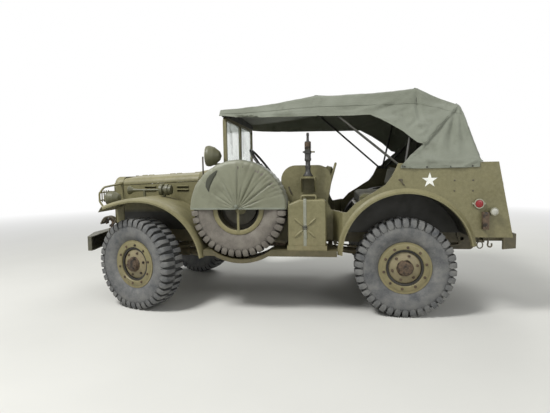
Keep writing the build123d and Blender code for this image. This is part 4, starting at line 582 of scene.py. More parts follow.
# CAD nodes whose finish is not their slot's own
NODE_FINISHES = {
    # the front bumper darker as painted shade
    "front_bumper": "bumper_paint",
    "running_boards": "board_paint",
    "rear_bumpers": "chassis_paint",
    "radiator_core": "black_steel",
    # the spare wheel darkened as painted shade, for the shade under its cover
    "spare_wheel": "dark_wheel",
    # the body sides, hood sides and floor pan take olive paint with painted shade
    "body_side_left": "quarter_paint",
    "body_side_right": "quarter_paint",
    "hood_sides": "nose_paint",
    "floor_pan": "nose_paint",
    # the top's bows near-black as painted shade, for the shade inside the top
    "top_bows": "black_steel",
}


def paint_nodes():
    """Gives every CAD node that stays its material."""
    slots = {part["node"]: part["material_slot"] for part in frame["record"]["subparts"]}
    for node, obj in NODES.items():
        material = finish(NODE_FINISHES.get(node, slots[node]))
        for place in obj.material_slots:
            place.material = material


# Tyres

# Side wall, half of the cross section: mm from the wheel's middle plane, radius in mm
SIDE_WALL = [
    (81, 206), (82, 236), (90, 243), (103, 258), (115, 285), (121, 312), (123.5, 340), (122, 368),
    (117, 392), (107, 412), (88, 423), (45, 427),
]
# Lug along its length: mm from the middle plane, outer radius, base radius, half width
LUG_STATIONS = [
    (3, 444, 420, 16), (9, 447.5, 420, 18), (60, 448, 420, 20.5), (98, 446, 412, 22.5),
    (113, 440, 404, 24), (121.5, 427, 398, 25), (126.5, 409, 388, 25), (128, 391, 378, 22),
    (125.5, 375, 368, 14),
]
LUGS_EACH_SIDE = 38
WALL_STEPS = 96
# beyond GROOVE_RADIUS the tread's floor takes the darker rubber as painted shade
GROOVE_RADIUS = 400        # beyond this the wall is the dark floor of the tread


def tyre_mesh(centre, axle):
    """Tyre with cross bars that reach down both shoulders, its axle along a direction."""
    shape = bmesh.new()
    axle = Vector(axle).normalized()
    side, up = frame_along(axle)
    profile = SIDE_WALL + [(-y, r) for y, r in reversed(SIDE_WALL)]
    rings = [add_ring(shape, centre + axle * mm(y), side, up, mm(r), WALL_STEPS) for y, r in profile]
    loft(shape, rings + rings[:1])
    shape.faces.ensure_lookup_table()
    for number, (_, radius) in enumerate(profile[:-1]):
        if radius > GROOVE_RADIUS:
            for face in shape.faces[number * WALL_STEPS:(number + 1) * WALL_STEPS]:
                face.material_index = 1
    for wall in (1, -1):
        for number in range(LUGS_EACH_SIDE):
            turn = 2 * math.pi * (number + (0.5 if wall < 0 else 0)) / LUGS_EACH_SIDE
            radial = math.cos(turn) * side + math.sin(turn) * up
            along = -math.sin(turn) * side + math.cos(turn) * up
            last = None
            for y, outer, base, half in LUG_STATIONS:
                middle = centre + axle * mm(wall * y)
                row = []
                for across, r in (
                    (-half - 3, base), (-half, outer - 4), (-half + 4, outer),
                    (half - 4, outer), (half, outer - 4), (half + 3, base),
                ):
                    row.append(shape.verts.new(middle + radial * mm(r) + along * mm(across)))
                if last:
                    for first in range(5):
                        face = shape.faces.new((last[first], last[first + 1], row[first + 1], row[first]))
                        # the lug's sloping sides take the darker rubber: painted shade
                        face.material_index = 1 if first in (0, 4) else 0
                else:
                    shape.faces.new(row)
                last = row
    return shape


ROAD_WHEELS = ["front_left", "front_right", "rear_left", "rear_right"]


def add_tyre(name, centre, axle, rubber, groove, body, node):
    """Treaded tyre in place of a plain one of the frame."""
    tyre = piece_from_bmesh(name, tyre_mesh(centre, axle), finish(rubber))
    tyre.data.materials.append(finish(groove))
    soften(tyre, 32)
    settle(tyre, body)
    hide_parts(node)


def build_tyres():
    for name in ROAD_WHEELS:
        joint = JOINTS["spin_" + name]
        centre = Vector(joint["pos_m"])
        rubber = ("tyre", "tyre_groove")
        add_tyre("tyre_tread_" + name, centre, joint["axis"], *rubber, name + "_wheel", "tyre_" + name)
    low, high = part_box("spare_tyre")
    centre = (Vector(low) + Vector(high)) / 2
    add_tyre("spare_tyre_tread", centre, (0, 1, 0), "spare_rubber", "spare_groove_shade", "car", "spare_tyre")


# Canvas top

# Cross sections: x, roof height, roof half width, height of the side seam, half width at the
# foot, height where the foot turns upright, foot height
TOP_ROWS = [
    (780, 1947, 740, 1889, 792, 1868, 1848), (1700, 2049, 740, 1926, 800, 1860, 1820),
    (2420, 2075, 740, 1926, 968, 1399, 1345), (2609, 2082, 740, 1926, 966, 1399, 1338),
    (2972, 1913, 740, 1832, 966, 1399, 1338), (2996, 1803, 800, 1718, 966, 1399, 1340),
    (3030, 1679, 856, 1585, 966, 1399, 1342), (3066, 1569, 900, 1483, 966, 1399, 1344),
    (3104, 1453, 930, 1405, 966, 1398, 1346), (3116, 1404, 933, 1397, 966, 1394, 1347),
]
BOW_STATIONS = [780, 1700, 2609, 2972, 3116]
ROOF_CROWN = 9.0
SEAM_OUT = 32.0            # side seam outside the roof's edge
DECK_X = 3093.0            # the hem turns up here onto the body's rear deck
DECK_Z = 1388.5
BODY_TOP = 1387.0
# Edge of the side opening and of the rear quarter's curtain: x, z
OPENING_EDGE = [
    (700, 1100), (700, 1867), (799, 1866), (860, 1860), (980, 1851), (1296, 1838), (2188, 1833),
    (2333, 1757), (2468, 1671), (2586, 1567), (2639, 1552), (2522, 1455), (2434, 1350), (2428, 1100),
]
# Columns of the sheet's grid on each run of a section: roof, shoulder, side, foot
TOP_COLUMNS = [26, 7, 30, 8]
TOP_STEP = 15.0
# Folds in the side of the top: from x, z to x, z, half width, height
FOLDS = [
    (2059, 1882, 2569, 1995, 26, 20), (2230, 1868, 2590, 2040, 20, -15),
    (1860, 1893, 2260, 1925, 18, -9), (1180, 1872, 1660, 1915, 16, 7),
    (2330, 1826, 2560, 1902, 16, -12), (2488, 1850, 2516, 1762, 12, -12),
    (2608, 2050, 2634, 1752, 17, -22), (2660, 1848, 2870, 1925, 20, 12),
    (2545, 1735, 2715, 1730, 15, 18), (2500, 1700, 2600, 1790, 13, -15),
    (2590, 1640, 2690, 1705, 13, 15), (2700, 1960, 2930, 1905, 20, -11),
    (2948, 1885, 2775, 1490, 24, 15), (2960, 1885, 2850, 1450, 17, -14),
    (2968, 1885, 2925, 1430, 22, 16), (2978, 1860, 3008, 1440, 16, -12),
    (2985, 1860, 3068, 1470, 18, 14), (2560, 1480, 2760, 1392, 18, 9), (2640, 1505, 2900, 1400, 16, -8),
    (2780, 1372, 3010, 1352, 11, 9), (2960, 1362, 3088, 1425, 13, 10), (2500, 1400, 2560, 1325, 13, 8),
]


def top_row(x):
    """Section of the top at a station between two of the table's rows."""
    for before, after in zip(TOP_ROWS, TOP_ROWS[1:]):
        if x <= after[0]:
            share = (x - before[0]) / (after[0] - before[0])
            return [a + share * (b - a) for a, b in zip(before, after)]
    return list(TOP_ROWS[-1])


def top_corners(x):
    """Half section as points y, z from the ridge to the foot."""
    _, roof, half, seam, foot_half, foot_top, foot = top_row(x)
    edge = (half, roof - ROOF_CROWN)
    return [(0.0, roof), edge, (half + SEAM_OUT, seam), (foot_half, foot_top), (foot_half, foot)]


def side_y(x, z):
    """Half width of the top at a station and a height below the roof's edge."""
    corners = top_corners(x)[1:]
    for (y0, z0), (y1, z1) in zip(corners, corners[1:]):
        if z >= z1:
            return y0 + (y1 - y0) * (z0 - z) / max(z0 - z1, 1.0)
    return corners[-1][0]


def sag_at(x):
    """How far along its panel a station lies, as 0 at a bow and 1 midway, and the panel's length."""
    for before, after in zip(BOW_STATIONS, BOW_STATIONS[1:]):
        if x <= after:
            return math.sin(math.pi * (x - before) / (after - before)), after - before
    return 0.0, 1.0


def fold_height(x, y, z):
    """Height of the folds in mm over the plain sheet."""
    height = 0.0
    if abs(y) > 735:
        for x0, z0, x1, z1, width, size in FOLDS:
            dx = x1 - x0
            dz = z1 - z0
            length = math.hypot(dx, dz)
            share = ((x - x0) * dx + (z - z0) * dz) / length ** 2
            if 0 < share < 1:
                off = ((x - x0) * dz - (z - z0) * dx) / length
                bend = 12.0 * math.sin(math.pi * share)
                height += size * math.exp(-((off - bend) / width) ** 2) * math.sin(math.pi * share) ** 0.6
        if x > 2400:
            near_hem = max(0.0, 1.0 - (z - 1320) / 110)
            height += 2.5 * near_hem * math.sin(x / 21.0 + 2.0 * noise.noise(Vector((x / 90, y, 0))))
        if 1780 < z < 1925:
            height += 4.0 * math.sin(x / 118.0 + 1.3) * min(1.0, (1925 - z) / 60)
    rumple = noise.noise(Vector((x / 170, y / 210, z / 150)))
    fine = noise.noise(Vector((x / 52, y / 75, z / 60 + 9)))
    return height + 6.0 * rumple + 2.2 * fine


def top_sheet():
    """The whole top as one grid of points, before the side openings are cut."""
    shape = bmesh.new()
    start = TOP_ROWS[0][0]
    end = TOP_ROWS[-1][0]
    rows = int((end - start) / TOP_STEP)
    grid = []
    for number in range(rows + 1):
        x = start + (end - start) * number / rows
        hang, panel = sag_at(x)
        corners = top_corners(x)
        half_row = []
        for (y0, z0), (y1, z1), count in zip(corners, corners[1:], TOP_COLUMNS):
            for step in range(count):
                share = step / count
                half_row.append((y0 + (y1 - y0) * share, z0 + (z1 - z0) * share))
        half_row.append(corners[-1])
        for _ in range(3):
            kept = half_row[:]
            for place in range(1, len(half_row) - 1):
                if place in (TOP_COLUMNS[0] + TOP_COLUMNS[1], sum(TOP_COLUMNS[:3])):
                    continue
                half_row[place] = tuple(
                    here * 0.5 + (before + after) * 0.25
                    for before, here, after in zip(kept[place - 1], kept[place], kept[place + 1])
                )
        line = []
        for side in (-1, 1):
            places = list(reversed(half_row)) if side < 0 else half_row[1:]
            for y, z in places:
                roof_part = max(0.0, 1.0 - (y / 1150.0) ** 4) * min(1.0, max(0.0, (z - 1800) / 100))
                drop = hang * roof_part * panel * 0.021
                pull = hang * 7.0 if y > 745 and z > 1800 else 0.0
                line.append(shape.verts.new(at(x, side * (y - pull), z - drop)))
        grid.append(line)
    rear = []
    for vert in grid[-1]:
        low = min(vert.co.z, mm(DECK_Z + 2))
        rear.append(shape.verts.new((vert.co.x + mm(2), vert.co.y, low)))
    grid.append(rear)
    flap = []
    for vert in grid[0]:
        if abs(vert.co.y) < mm(748):
            down = [(vert.co.x - mm(2), vert.co.y, vert.co.z - mm(14 * step)) for step in (1, 2, 3)]
            flap.append([vert] + [shape.verts.new(place) for place in down])
    add_grid(shape, flap)
    for first, second in zip(grid, grid[1:]):
        for place in range(len(first) - 1):
            shape.faces.new((first[place], second[place], second[place + 1], first[place + 1]))
    bmesh.ops.remove_doubles(shape, verts=shape.verts, dist=0.0002)
    bmesh.ops.recalc_face_normals(shape, faces=shape.faces)
    shape.normal_update()
    if sum(face.normal.z for face in shape.faces if face.calc_center_median().z > mm(1980)) < 0:
        bmesh.ops.reverse_faces(shape, faces=shape.faces)
        shape.normal_update()
    moves = []
    for vert in shape.verts:
        x = (vert.co.x - FRONT_AXLE_X) * 1000
        height = fold_height(x, vert.co.y * 1000, vert.co.z * 1000)
        on_body = vert.co.z < mm(BODY_TOP + 14) and x > 2400
        height = max(min(height, 15.0), 0.0) if on_body else height
        moves.append((vert, vert.normal * mm(height - 3.2)))
    for vert, move in moves:
        vert.co += move
    return shape


def inside_outline(x, z, outline):
    """Whether a place seen from the side lies inside a closed outline."""
    hit = False
    for (x0, z0), (x1, z1) in zip(outline, outline[1:] + outline[:1]):
        if (z0 > z) != (z1 > z) and x < x0 + (x1 - x0) * (z - z0) / (z1 - z0):
            hit = not hit
    return hit


def car_xz(point):
    """Station and height of a place, in mm."""
    return (point.x - FRONT_AXLE_X) * 1000, point.z * 1000


def split_along(shape, line):
    """Splits the faces on both sides of the car along a line given as x, z."""
    for (x0, z0), (x1, z1) in zip(line, line[1:]):
        direction = Vector((x1 - x0, 0, z1 - z0)).normalized()
        normal = Vector((direction.z, 0, -direction.x))
        near = []
        for face in shape.faces:
            centre = face.calc_center_median()
            x, z = car_xz(centre)
            inside = min(x0, x1) - 40 < x < max(x0, x1) + 40 and min(z0, z1) - 40 < z < max(z0, z1) + 40
            if abs(centre.y) > 0.6 and inside:
                near.append(face)
        geom = near + list({e for f in near for e in f.edges}) + list({v for f in near for v in f.verts})
        bmesh.ops.bisect_plane(shape, geom=geom, plane_co=at(x0, 0, z0), plane_no=normal, dist=0.0001)


def cut_openings(shape):
    """Cuts the side openings and the rear deck's step into the sheet along clean edges."""
    split_along(shape, OPENING_EDGE)
    for plane, normal, reach in (
        (at(DECK_X, 0, 0), Vector((1, 0, 0)), lambda x, z: x > 3040 and z < 1450),
        (at(0, 0, DECK_Z), Vector((0, 0, 1)), lambda x, z: x > 3040 and z < 1450),
    ):
        near = [face for face in shape.faces if reach(*car_xz(face.calc_center_median()))]
        geom = near + list({e for f in near for e in f.edges}) + list({v for f in near for v in f.verts})
        bmesh.ops.bisect_plane(shape, geom=geom, plane_co=plane, plane_no=normal, dist=0.0001)
    gone = []
    for face in shape.faces:
        centre = face.calc_center_median()
        x, z = car_xz(centre)
        if abs(centre.y) > 0.6 and inside_outline(x, z, OPENING_EDGE):
            gone.append(face)
        elif x > DECK_X and z < DECK_Z:
            gone.append(face)
    bmesh.ops.delete(shape, geom=gone, context="FACES")
    loose = [vert for vert in shape.verts if not vert.link_faces]
    bmesh.ops.delete(shape, geom=loose, context="VERTS")


def unwrap_by_length(shape):
    """Lays the weave's coordinates out in metres: along the car and across it by girth."""
    layer = shape.loops.layers.uv.verify()
    for face in shape.faces:
        for loop in face.loops:
            point = loop.vert.co
            girth = point.y if abs(point.y) < 0.745 else math.copysign(0.745 + 1.95 - point.z, point.y)
            loop[layer].uv = (point.x, girth)


class Cloth:
    """Finds places on a finished sheet, for what is sewn to it."""

    def __init__(self, piece):
        self.tree = BVHTree.FromObject(piece, bpy.context.evaluated_depsgraph_get())

    def on(self, guess, centre):
        """Nearest place to a guess, and the normal there that points away from a centre."""
        point, normal, _, _ = self.tree.find_nearest(Vector(guess))
        if normal.dot(point - Vector(centre)) < 0:
            normal = -normal
        return point, normal


def hug(cloth, line, step, centre, lift):
    """Places on a cloth and its normals along a line of corners, lifted off it; all in mm."""
    points = []
    normals = []
    for guess in dense(line, step):
        point, normal = cloth.on(at(*guess), centre)
        points.append(point + normal * mm(lift))
        normals.append(normal)
    return points, normals


def sew(shape, cloth, line, step, centre, lift, width, thick):
    """Strip of cloth laid along a line of corners on another; all in mm."""
    points, normals = hug(cloth, line, step, centre, lift)
    add_strip(shape, points, normals, width, thick)
    return points, normals


def dense(line, step):
    """Points along a line of corners, no further apart than a step in mm."""
    made = []
    for start, end in zip(line, line[1:]):
        start = Vector(start)
        end = Vector(end)
        count = max(1, int((end - start).length / step))
        made += [start.lerp(end, number / count) for number in range(count)]
    made.append(Vector(line[-1]))
    return made


# Hems and seams seen from the side: x, z
VALANCE_HEM = [
    (786, 1879), (862, 1872), (980, 1863), (1296, 1851), (2192, 1846), (2340, 1769), (2476, 1683),
    (2592, 1579), (2640, 1566),
]
CURTAIN_HEM = [(2652, 1548), (2534, 1448), (2447, 1350)]
QUARTER_HEM = [(2440, 1358), (2609, 1351), (3086, 1358)]
WING_SEAM = [(2636, 1562), (2656, 1568), (2676, 1592), (2952, 1884)]
QUARTER_TUCK = 16.0        # how far the quarter's curtain lies inside the wing
HEM_THICK = 1.8
# Stations of the seams: along the sides, down the rear corners, and across over the bows
SIDE_SEAM_AT = (790, 1230, 1700, 2160, 2609, 2800, 2975)
REAR_SEAM_AT = (2972, 2996, 3030, 3066, 3104)
CROSS_SEAMS_AT = (1700, 2609, 2970)


def beyond_seam(x, z):
    """Distance in mm below and behind the wing's seam, or less than zero on the wing."""
    nearest = None
    for (x0, z0), (x1, z1) in zip(WING_SEAM, WING_SEAM[1:]):
        dx = x1 - x0
        dz = z1 - z0
        length = math.hypot(dx, dz)
        share = min(max(((x - x0) * dx + (z - z0) * dz) / length ** 2, 0.0), 1.0)
        gap = math.hypot(x - x0 - share * dx, z - z0 - share * dz)
        side = ((x - x0) * dz - (z - z0) * dx) / length
        if nearest is None or gap < abs(nearest):
            nearest = math.copysign(gap, side)
    return nearest


def tuck_quarters(shape):
    """Lets the quarter's curtain pass inside the edge of the wing."""
    split_along(shape, WING_SEAM)
    for vert in shape.verts:
        x, z = car_xz(vert.co)
        if abs(vert.co.y) > 0.6 and x < 3000 and 1410 < z < 1900:
            deep = min(max(beyond_seam(x, z) - 0.5, 0.0) / 9.0, 1.0)
            fade = min(1.0, (z - 1410) / 90) * min(1.0, (3000 - x) / 90) * min(1.0, (1900 - z) / 60)
            vert.co.y -= math.copysign(mm(QUARTER_TUCK * deep * fade), vert.co.y)


def build_top():
    shape = top_sheet()
    tuck_quarters(shape)
    cut_openings(shape)
    unwrap_by_length(shape)
    sheet = piece_as_is("canvas_top_sheet", shape, finish("canvas"))
    thicken(sheet, 2.5, -1)
    settle(sheet, "car")
    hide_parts("canvas_top")
    cloth = Cloth(sheet)
    hems = bmesh.new()
    middle = at(2000, 0, 1500)
    for side in (-1, 1):
        for line, width in ((VALANCE_HEM, 26), (CURTAIN_HEM, 26), (QUARTER_HEM, 28), (WING_SEAM, 24)):
            corners = [(x, side * side_y(x, z), z) for x, z in line]
            points, normals = sew(hems, cloth, corners, 18, middle, 0.2, width, HEM_THICK)
            if line is WING_SEAM:
                add_tube(hems, [point + normal * mm(3) for point, normal in zip(points, normals)], 4, 8)
        seam = [(x, side * (top_row(x)[2] + SEAM_OUT), top_row(x)[3]) for x in SIDE_SEAM_AT]
        points, _ = hug(cloth, seam, 18, middle, 0.5)
        add_tube(hems, points, 3.4, 6)
        rear = [(x, side * top_row(x)[2], top_row(x)[1] - ROOF_CROWN) for x in REAR_SEAM_AT]
        sew(hems, cloth, rear, 18, middle, 0.2, 20, HEM_THICK)
    for station in CROSS_SEAMS_AT:
        row = top_row(station)
        line = [(station, y, row[1] - ROOF_CROWN * abs(y) / row[2]) for y in (-725, 0, 725)]
        sew(hems, cloth, line, 22, middle, 0.2, 34, HEM_THICK)
    sewn = add_piece("canvas_top_hems", hems, "canvas", crisp=40)
    build_fasteners(cloth, middle)


def build_fasteners(cloth, middle):
    """Turn buttons along the hem of the rear quarters."""
    shape = bmesh.new()
    for side in (-1, 1):
        for x in (2470, 2658, 2851, 3030):
            point, normal = cloth.on(at(x, side * 966, top_row(x)[6] + 13), middle)
            profile = [(0, 8), (1.5, 8), (2, 4.5), (6, 4), (8, 3)]
            add_turned(shape, point + normal * mm(1.6), normal, profile, 14)
            add_block(shape, point + normal * mm(8), (13, 4, 4.5))
    buttons = piece_from_bmesh("top_turn_buttons", shape, finish("black_steel"))
    settle(buttons, "car")


# Spare wheel's cover

SPARE = (980.0, -859.0, 988.0)
# Profile of the cover: mm behind the tyre's middle plane, radius in mm
COVER_PROFILE = [
    (-129, 12), (-129.5, 60), (-130, 120), (-130.5, 180), (-131, 240), (-131.5, 300), (-131.5, 345),
    (-131, 385), (-129.5, 412), (-125, 432), (-117, 445), (-105, 451.5), (-88, 453.5), (-50, 454),
    (0, 454), (50, 454), (88, 453), (106, 451), (117, 446.5),
]
# Folds that run from the button to the rim: degrees from the rear, up over the top, half width
# and depth in mm, how far they reach as a share of the radius
PLEATS = [
    (8, 9, 6, 0.45), (22, 8, 7, 0.6), (37, 9, 9, 0.98), (50, 7, 7, 0.7), (63, 9, 10, 1),
    (77, 8, 7, 0.55), (88, 10, 11, 1), (104, 8, 6, 0.5), (117, 9, 8, 0.72), (131, 8, 6, 0.5),
    (146, 8, 7, 0.6), (158, 8, 5, 0.42), (171, 9, 5, 0.4),
]
# Puckers at the rim: degrees, half width in degrees, depth in mm
PUCKERS = [
    (18, 1.6, 6), (24, 1.3, 5), (29.5, 1.6, 7), (35, 1.3, 5), (41, 1.7, 7), (47, 1.2, 6),
    (52.5, 1.6, 7), (58.5, 1.4, 6), (65, 1.8, 7), (72, 1.4, 5), (80, 2, 5), (121, 1.8, 4), (139, 2, 4),
]
COVER_STEPS = 240
# Dark patch on the cover's face: x, z and width of its cross rows
PATCH_LEAF = [
    (716, 1158, 10), (706, 1190, 38), (712, 1226, 52), (728, 1262, 54), (752, 1296, 46), (780, 1326, 30),
    (802, 1350, 8),
]


def cover_dent(angle, radius):
    """How far the cover's face is pressed in at a place, in mm."""
    dent = 0.0
    for degrees, width, depth, reach in PLEATS:
        off = (angle - math.radians(degrees)) * max(radius, 60)
        grip = width * (0.5 + 0.9 * radius / 450)
        along = min(max((reach - radius / 450) / 0.22, 0.0), 1.0)
        ridge = math.exp(-((off - 2.4 * grip) / (2.0 * grip)) ** 2)
        dent += along * depth * (math.exp(-(off / grip) ** 2) - 0.5 * ridge)
    for degrees, width, depth in PUCKERS:
        off = (math.degrees(angle) - degrees - 0.02 * (450 - radius)) / width
        rim = min(max((radius - 290) / 130, 0.0), 1.0)
        dent += rim * depth * math.exp(-off ** 2)
    return dent


def by_spare(radius, y, angle):
    """Place by the spare wheel: radius, mm behind its middle plane, angle up from the rear."""
    return SPARE[0] + radius * math.cos(angle), SPARE[1] + y, SPARE[2] + radius * math.sin(angle)


def build_cover():
    shape = bmesh.new()
    rows = []
    for number in range(COVER_STEPS + 1):
        angle = math.pi * number / COVER_STEPS
        row = []
        for y, radius in COVER_PROFILE:
            place = Vector((math.cos(angle) * radius / 60, y / 40, math.sin(angle) * radius / 60))
            inward = cover_dent(angle, radius) * min(1.0, radius / 120) + 4.0 * noise.noise(place)
            # the face is pressed straight in, the band over the tread towards the axle
            band = min(max((radius - 395) / 58, 0.0), 1.0) if y < -100 else 1.0
            deep = inward * (1 - band) if y < -100 else 0.0
            row.append(shape.verts.new(at(*by_spare(radius - min(inward, 3.5) * band, y + deep, angle))))
        rows.append(row)
    add_grid(shape, rows)
    layer = shape.loops.layers.uv.verify()
    for face in shape.faces:
        for loop in face.loops:
            loop[layer].uv = loop.vert.co.xz
    cover = piece_as_is("spare_cover_cloth", shape, finish("cover_canvas"))
    thicken(cover, 2.0)
    settle(cover, "car")
    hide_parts("spare_cover")
    cloth = Cloth(cover)
    inside = at(SPARE[0], SPARE[1], SPARE[2] + 100)
    face_y = SPARE[1] - 134
    trim = bmesh.new()
    bottom = [(SPARE[0] + end, face_y, SPARE[2] + 9) for end in (-448, 448)]
    sew(trim, cloth, bottom, 16, inside, 0.3, 15, 2.2)
    for y in (-60, 60):
        arc = [by_spare(456, y, math.pi * number / 96) for number in range(97)]
        sew(trim, cloth, arc, 16, inside, 0.2, 14, 1.6)
    button, out = cloth.on(at(SPARE[0] - 8, face_y, SPARE[2] + 30), inside)
    add_turned(trim, button, out, [(0, 19), (2, 19), (4, 13), (7, 9), (8, 3)], 24)
    patch = bmesh.new()
    rows = []
    for x, z, width in PATCH_LEAF:
        row = []
        for share in (-0.5, -0.17, 0.17, 0.5):
            point, normal = cloth.on(at(x + share * width * 0.9, face_y, z - share * width * 0.5), inside)
            row.append(patch.verts.new(point + normal * mm(1.6)))
        rows.append(row)
    add_grid(patch, rows)
    dark = piece_from_bmesh("spare_cover_patch", patch, finish("patch_canvas"))
    thicken(dark, 1.2)
    settle(dark, "car")
    sewn = add_piece("spare_cover_hem", trim, "canvas", crisp=40)


# Cushions

LEAN = 14.0                # degrees, of the two kinds of back
# Rows: name, node, low corner, high corner, lean line x and z or none
CUSHIONS = [
    ("front_seat_pad_left", "front_seats", (1290, -600, 986), (1740, -100, 1095), None),
    ("front_seat_pad_right", "front_seats", (1290, 100, 986), (1740, 600, 1095), None),
    ("front_seat_back_left", "front_seats", (1708, -570, 1115), (1788, -130, 1394), (1770, 1095)),
    ("front_seat_back_right", "front_seats", (1708, 130, 1115), (1788, 570, 1394), (1770, 1095)),
    ("rear_seat_pad", "rear_seat", (2084, -633.7, 961), (2514, 633.7, 1090), None),
    ("rear_seat_back", "rear_seat", (2454, -633.7, 1110), (2574, 633.7, 1377), (2514, 1110)),
]


def box_start(low, high, shrink, edge):
    """Slightly smaller block with rounded edges for a cushion to swell from."""
    shape = bmesh.new()
    size = [b - a - 2 * shrink for a, b in zip(low, high)]
    add_block(shape, at(*[(a + b) / 2 for a, b in zip(low, high)]), size, None, edge)
    return shape


def tip(piece, line):
    """Leans a back cushion rearwards about a cross line."""
    pivot = Matrix.Translation(at(line[0], 0, line[1]))
    piece.data.transform(pivot @ Matrix.Rotation(math.radians(LEAN), 4, "Y") @ pivot.inverted())


def hold_back(piece, before, cap):
    """Keeps every point within a distance of where it started."""
    for vert, place in zip(piece.data.vertices, before):
        move = vert.co - place
        if move.length > cap:
            vert.co = place + move.normalized() * cap


def swell(piece, voxel, cap, low, high):
    """Blows the cushion up as cloth under pressure and keeps the result."""
    remesh = piece.modifiers.new("remesh", "REMESH")
    remesh.mode = "VOXEL"
    remesh.voxel_size = voxel
    remesh.use_smooth_shade = True
    apply_modifiers(piece)
    before = [vert.co.copy() for vert in piece.data.vertices]
    cloth = piece.modifiers.new("cloth", "CLOTH")
    cloth.settings.quality = 4
    cloth.settings.mass = 0.4
    cloth.settings.use_pressure = True
    cloth.settings.uniform_pressure_force = 4.0
    cloth.settings.effector_weights.gravity = 0.0
    cloth.settings.tension_stiffness = 25
    cloth.settings.compression_stiffness = 25
    cloth.collision_settings.use_collision = False
    cloth.point_cache.frame_start = 1
    cloth.point_cache.frame_end = 20
    for number in range(1, 21):
        bpy.context.scene.frame_set(number)
    apply_modifiers(piece)
    bpy.context.scene.frame_set(1)
    hold_back(piece, before, cap)
    for vert in piece.data.vertices:
        for axis in range(3):
            vert.co[axis] = min(max(vert.co[axis], low[axis]), high[axis])
    piece.data.update()


def welt_path(low, high, inset, z, radius):
    """Rounded rectangle round a cushion's top or bottom seam."""
    points = []
    corners = [
        (high[0] - inset - radius, high[1] - inset - radius, 0),
        (low[0] + inset + radius, high[1] - inset - radius, 90),
        (low[0] + inset + radius, low[1] + inset + radius, 180),
        (high[0] - inset - radius, low[1] + inset + radius, 270),
    ]
    for x, y, start in corners:
        for step in range(7):
            angle = math.radians(start + 15 * step)
            points.append((x + radius * math.cos(angle), y + radius * math.sin(angle), z))
    return points + points[:1]


def build_cushion(name, node, low, high, line):
    rear = node == "rear_seat"
    cushion = piece_from_bmesh(name, box_start(low, high, 9, 24), finish("seat_cloth"))
    room = 8 if rear else 10
    floor = at(*[value - (0 if axis == 2 and line is None else room) for axis, value in enumerate(low)])
    roof = at(*[value + room for value in high])
    if rear:
        floor.y = mm(low[1])
        roof.y = mm(high[1])
    swell(cushion, mm(12.5 if rear else 8.5), mm(22), floor, roof)
    finer = cushion.modifiers.new("finer", "SUBSURF")
    finer.levels = 1
    apply_modifiers(cushion)
    for polygon in cushion.data.polygons:
        polygon.use_smooth = True
    cloth = Cloth(cushion)
    middle = at(*[(a + b) / 2 for a, b in zip(low, high)])
    if line is None:
        loops = [[at(*p) for p in welt_path(low, high, 4, z, 40)] for z in (high[2] - 14, low[2] + 16)]
    else:
        path = welt_path(low[1:], high[1:], 4, 0, 40)
        loops = [[at(x, y, z) for y, z, _ in path] for x in (low[0] + 14, high[0] - 14)]
    seams = bmesh.new()
    for loop in loops:
        ring = []
        for guess in dense(loop, mm(14)):
            point, normal = cloth.on(guess, middle)
            ring.append(point + normal * mm(1.5))
        add_tube(seams, ring[:-1], 4.0, 7, True)
    piping = piece_from_bmesh(name + "_piping", seams, finish("seat_cloth"))
    for piece in (cushion, piping):
        if line is not None:
            tip(piece, line)
        settle(piece, "car")
        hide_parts(node)


# Wheels

# Outlines round the axle: mm outwards from the wheel's middle plane, radius in mm
CLAMP_RING = [(79, 166), (90, 168), (94, 172), (95, 206), (92, 214), (88, 222), (84, 222), (82, 206)]
HUB_DISC = [(30, 140), (58, 145), (66, 143), (72, 135), (77, 116), (84, 98), (90, 84), (91, 58)]
HUB_SHELL = [(86, 76), (94, 73), (104, 67), (118, 65), (128, 61), (134, 46), (137, 26), (138, 6)]
# near-black ring round the hub disc: painted shade in the gap behind it
HUB_SHADE_RING = [(62, 146), (79, 146), (80.5, 149), (80.5, 167), (78, 168)]
SPARE_FLANGE = [(84, 198), (92, 196), (96, 204), (97, 230), (94, 238), (88, 240)]
# Bolts: how many, their circle's radius, the plane they stand on, head's radius and height
RIM_BOLTS = (10, 190, 94.5, 9.5, 11)
HUB_NUTS = (6, 112, 79, 10, 13)
FLANGE_BOLTS = (8, 46, 133, 6.5, 8)


def add_bolt_circle(shape, centre, axis, row, turned=0.0):
    """Bolts on a circle round an axis, from a row of the table above."""
    count, circle, plane, radius, height = row
    side, up = frame_along(axis)
    for number in range(count):
        angle = 2 * math.pi * (number + turned) / count
        spoke = math.cos(angle) * side + math.sin(angle) * up
        add_bolt(shape, centre + axis * mm(plane) + spoke * mm(circle), axis, radius, height)


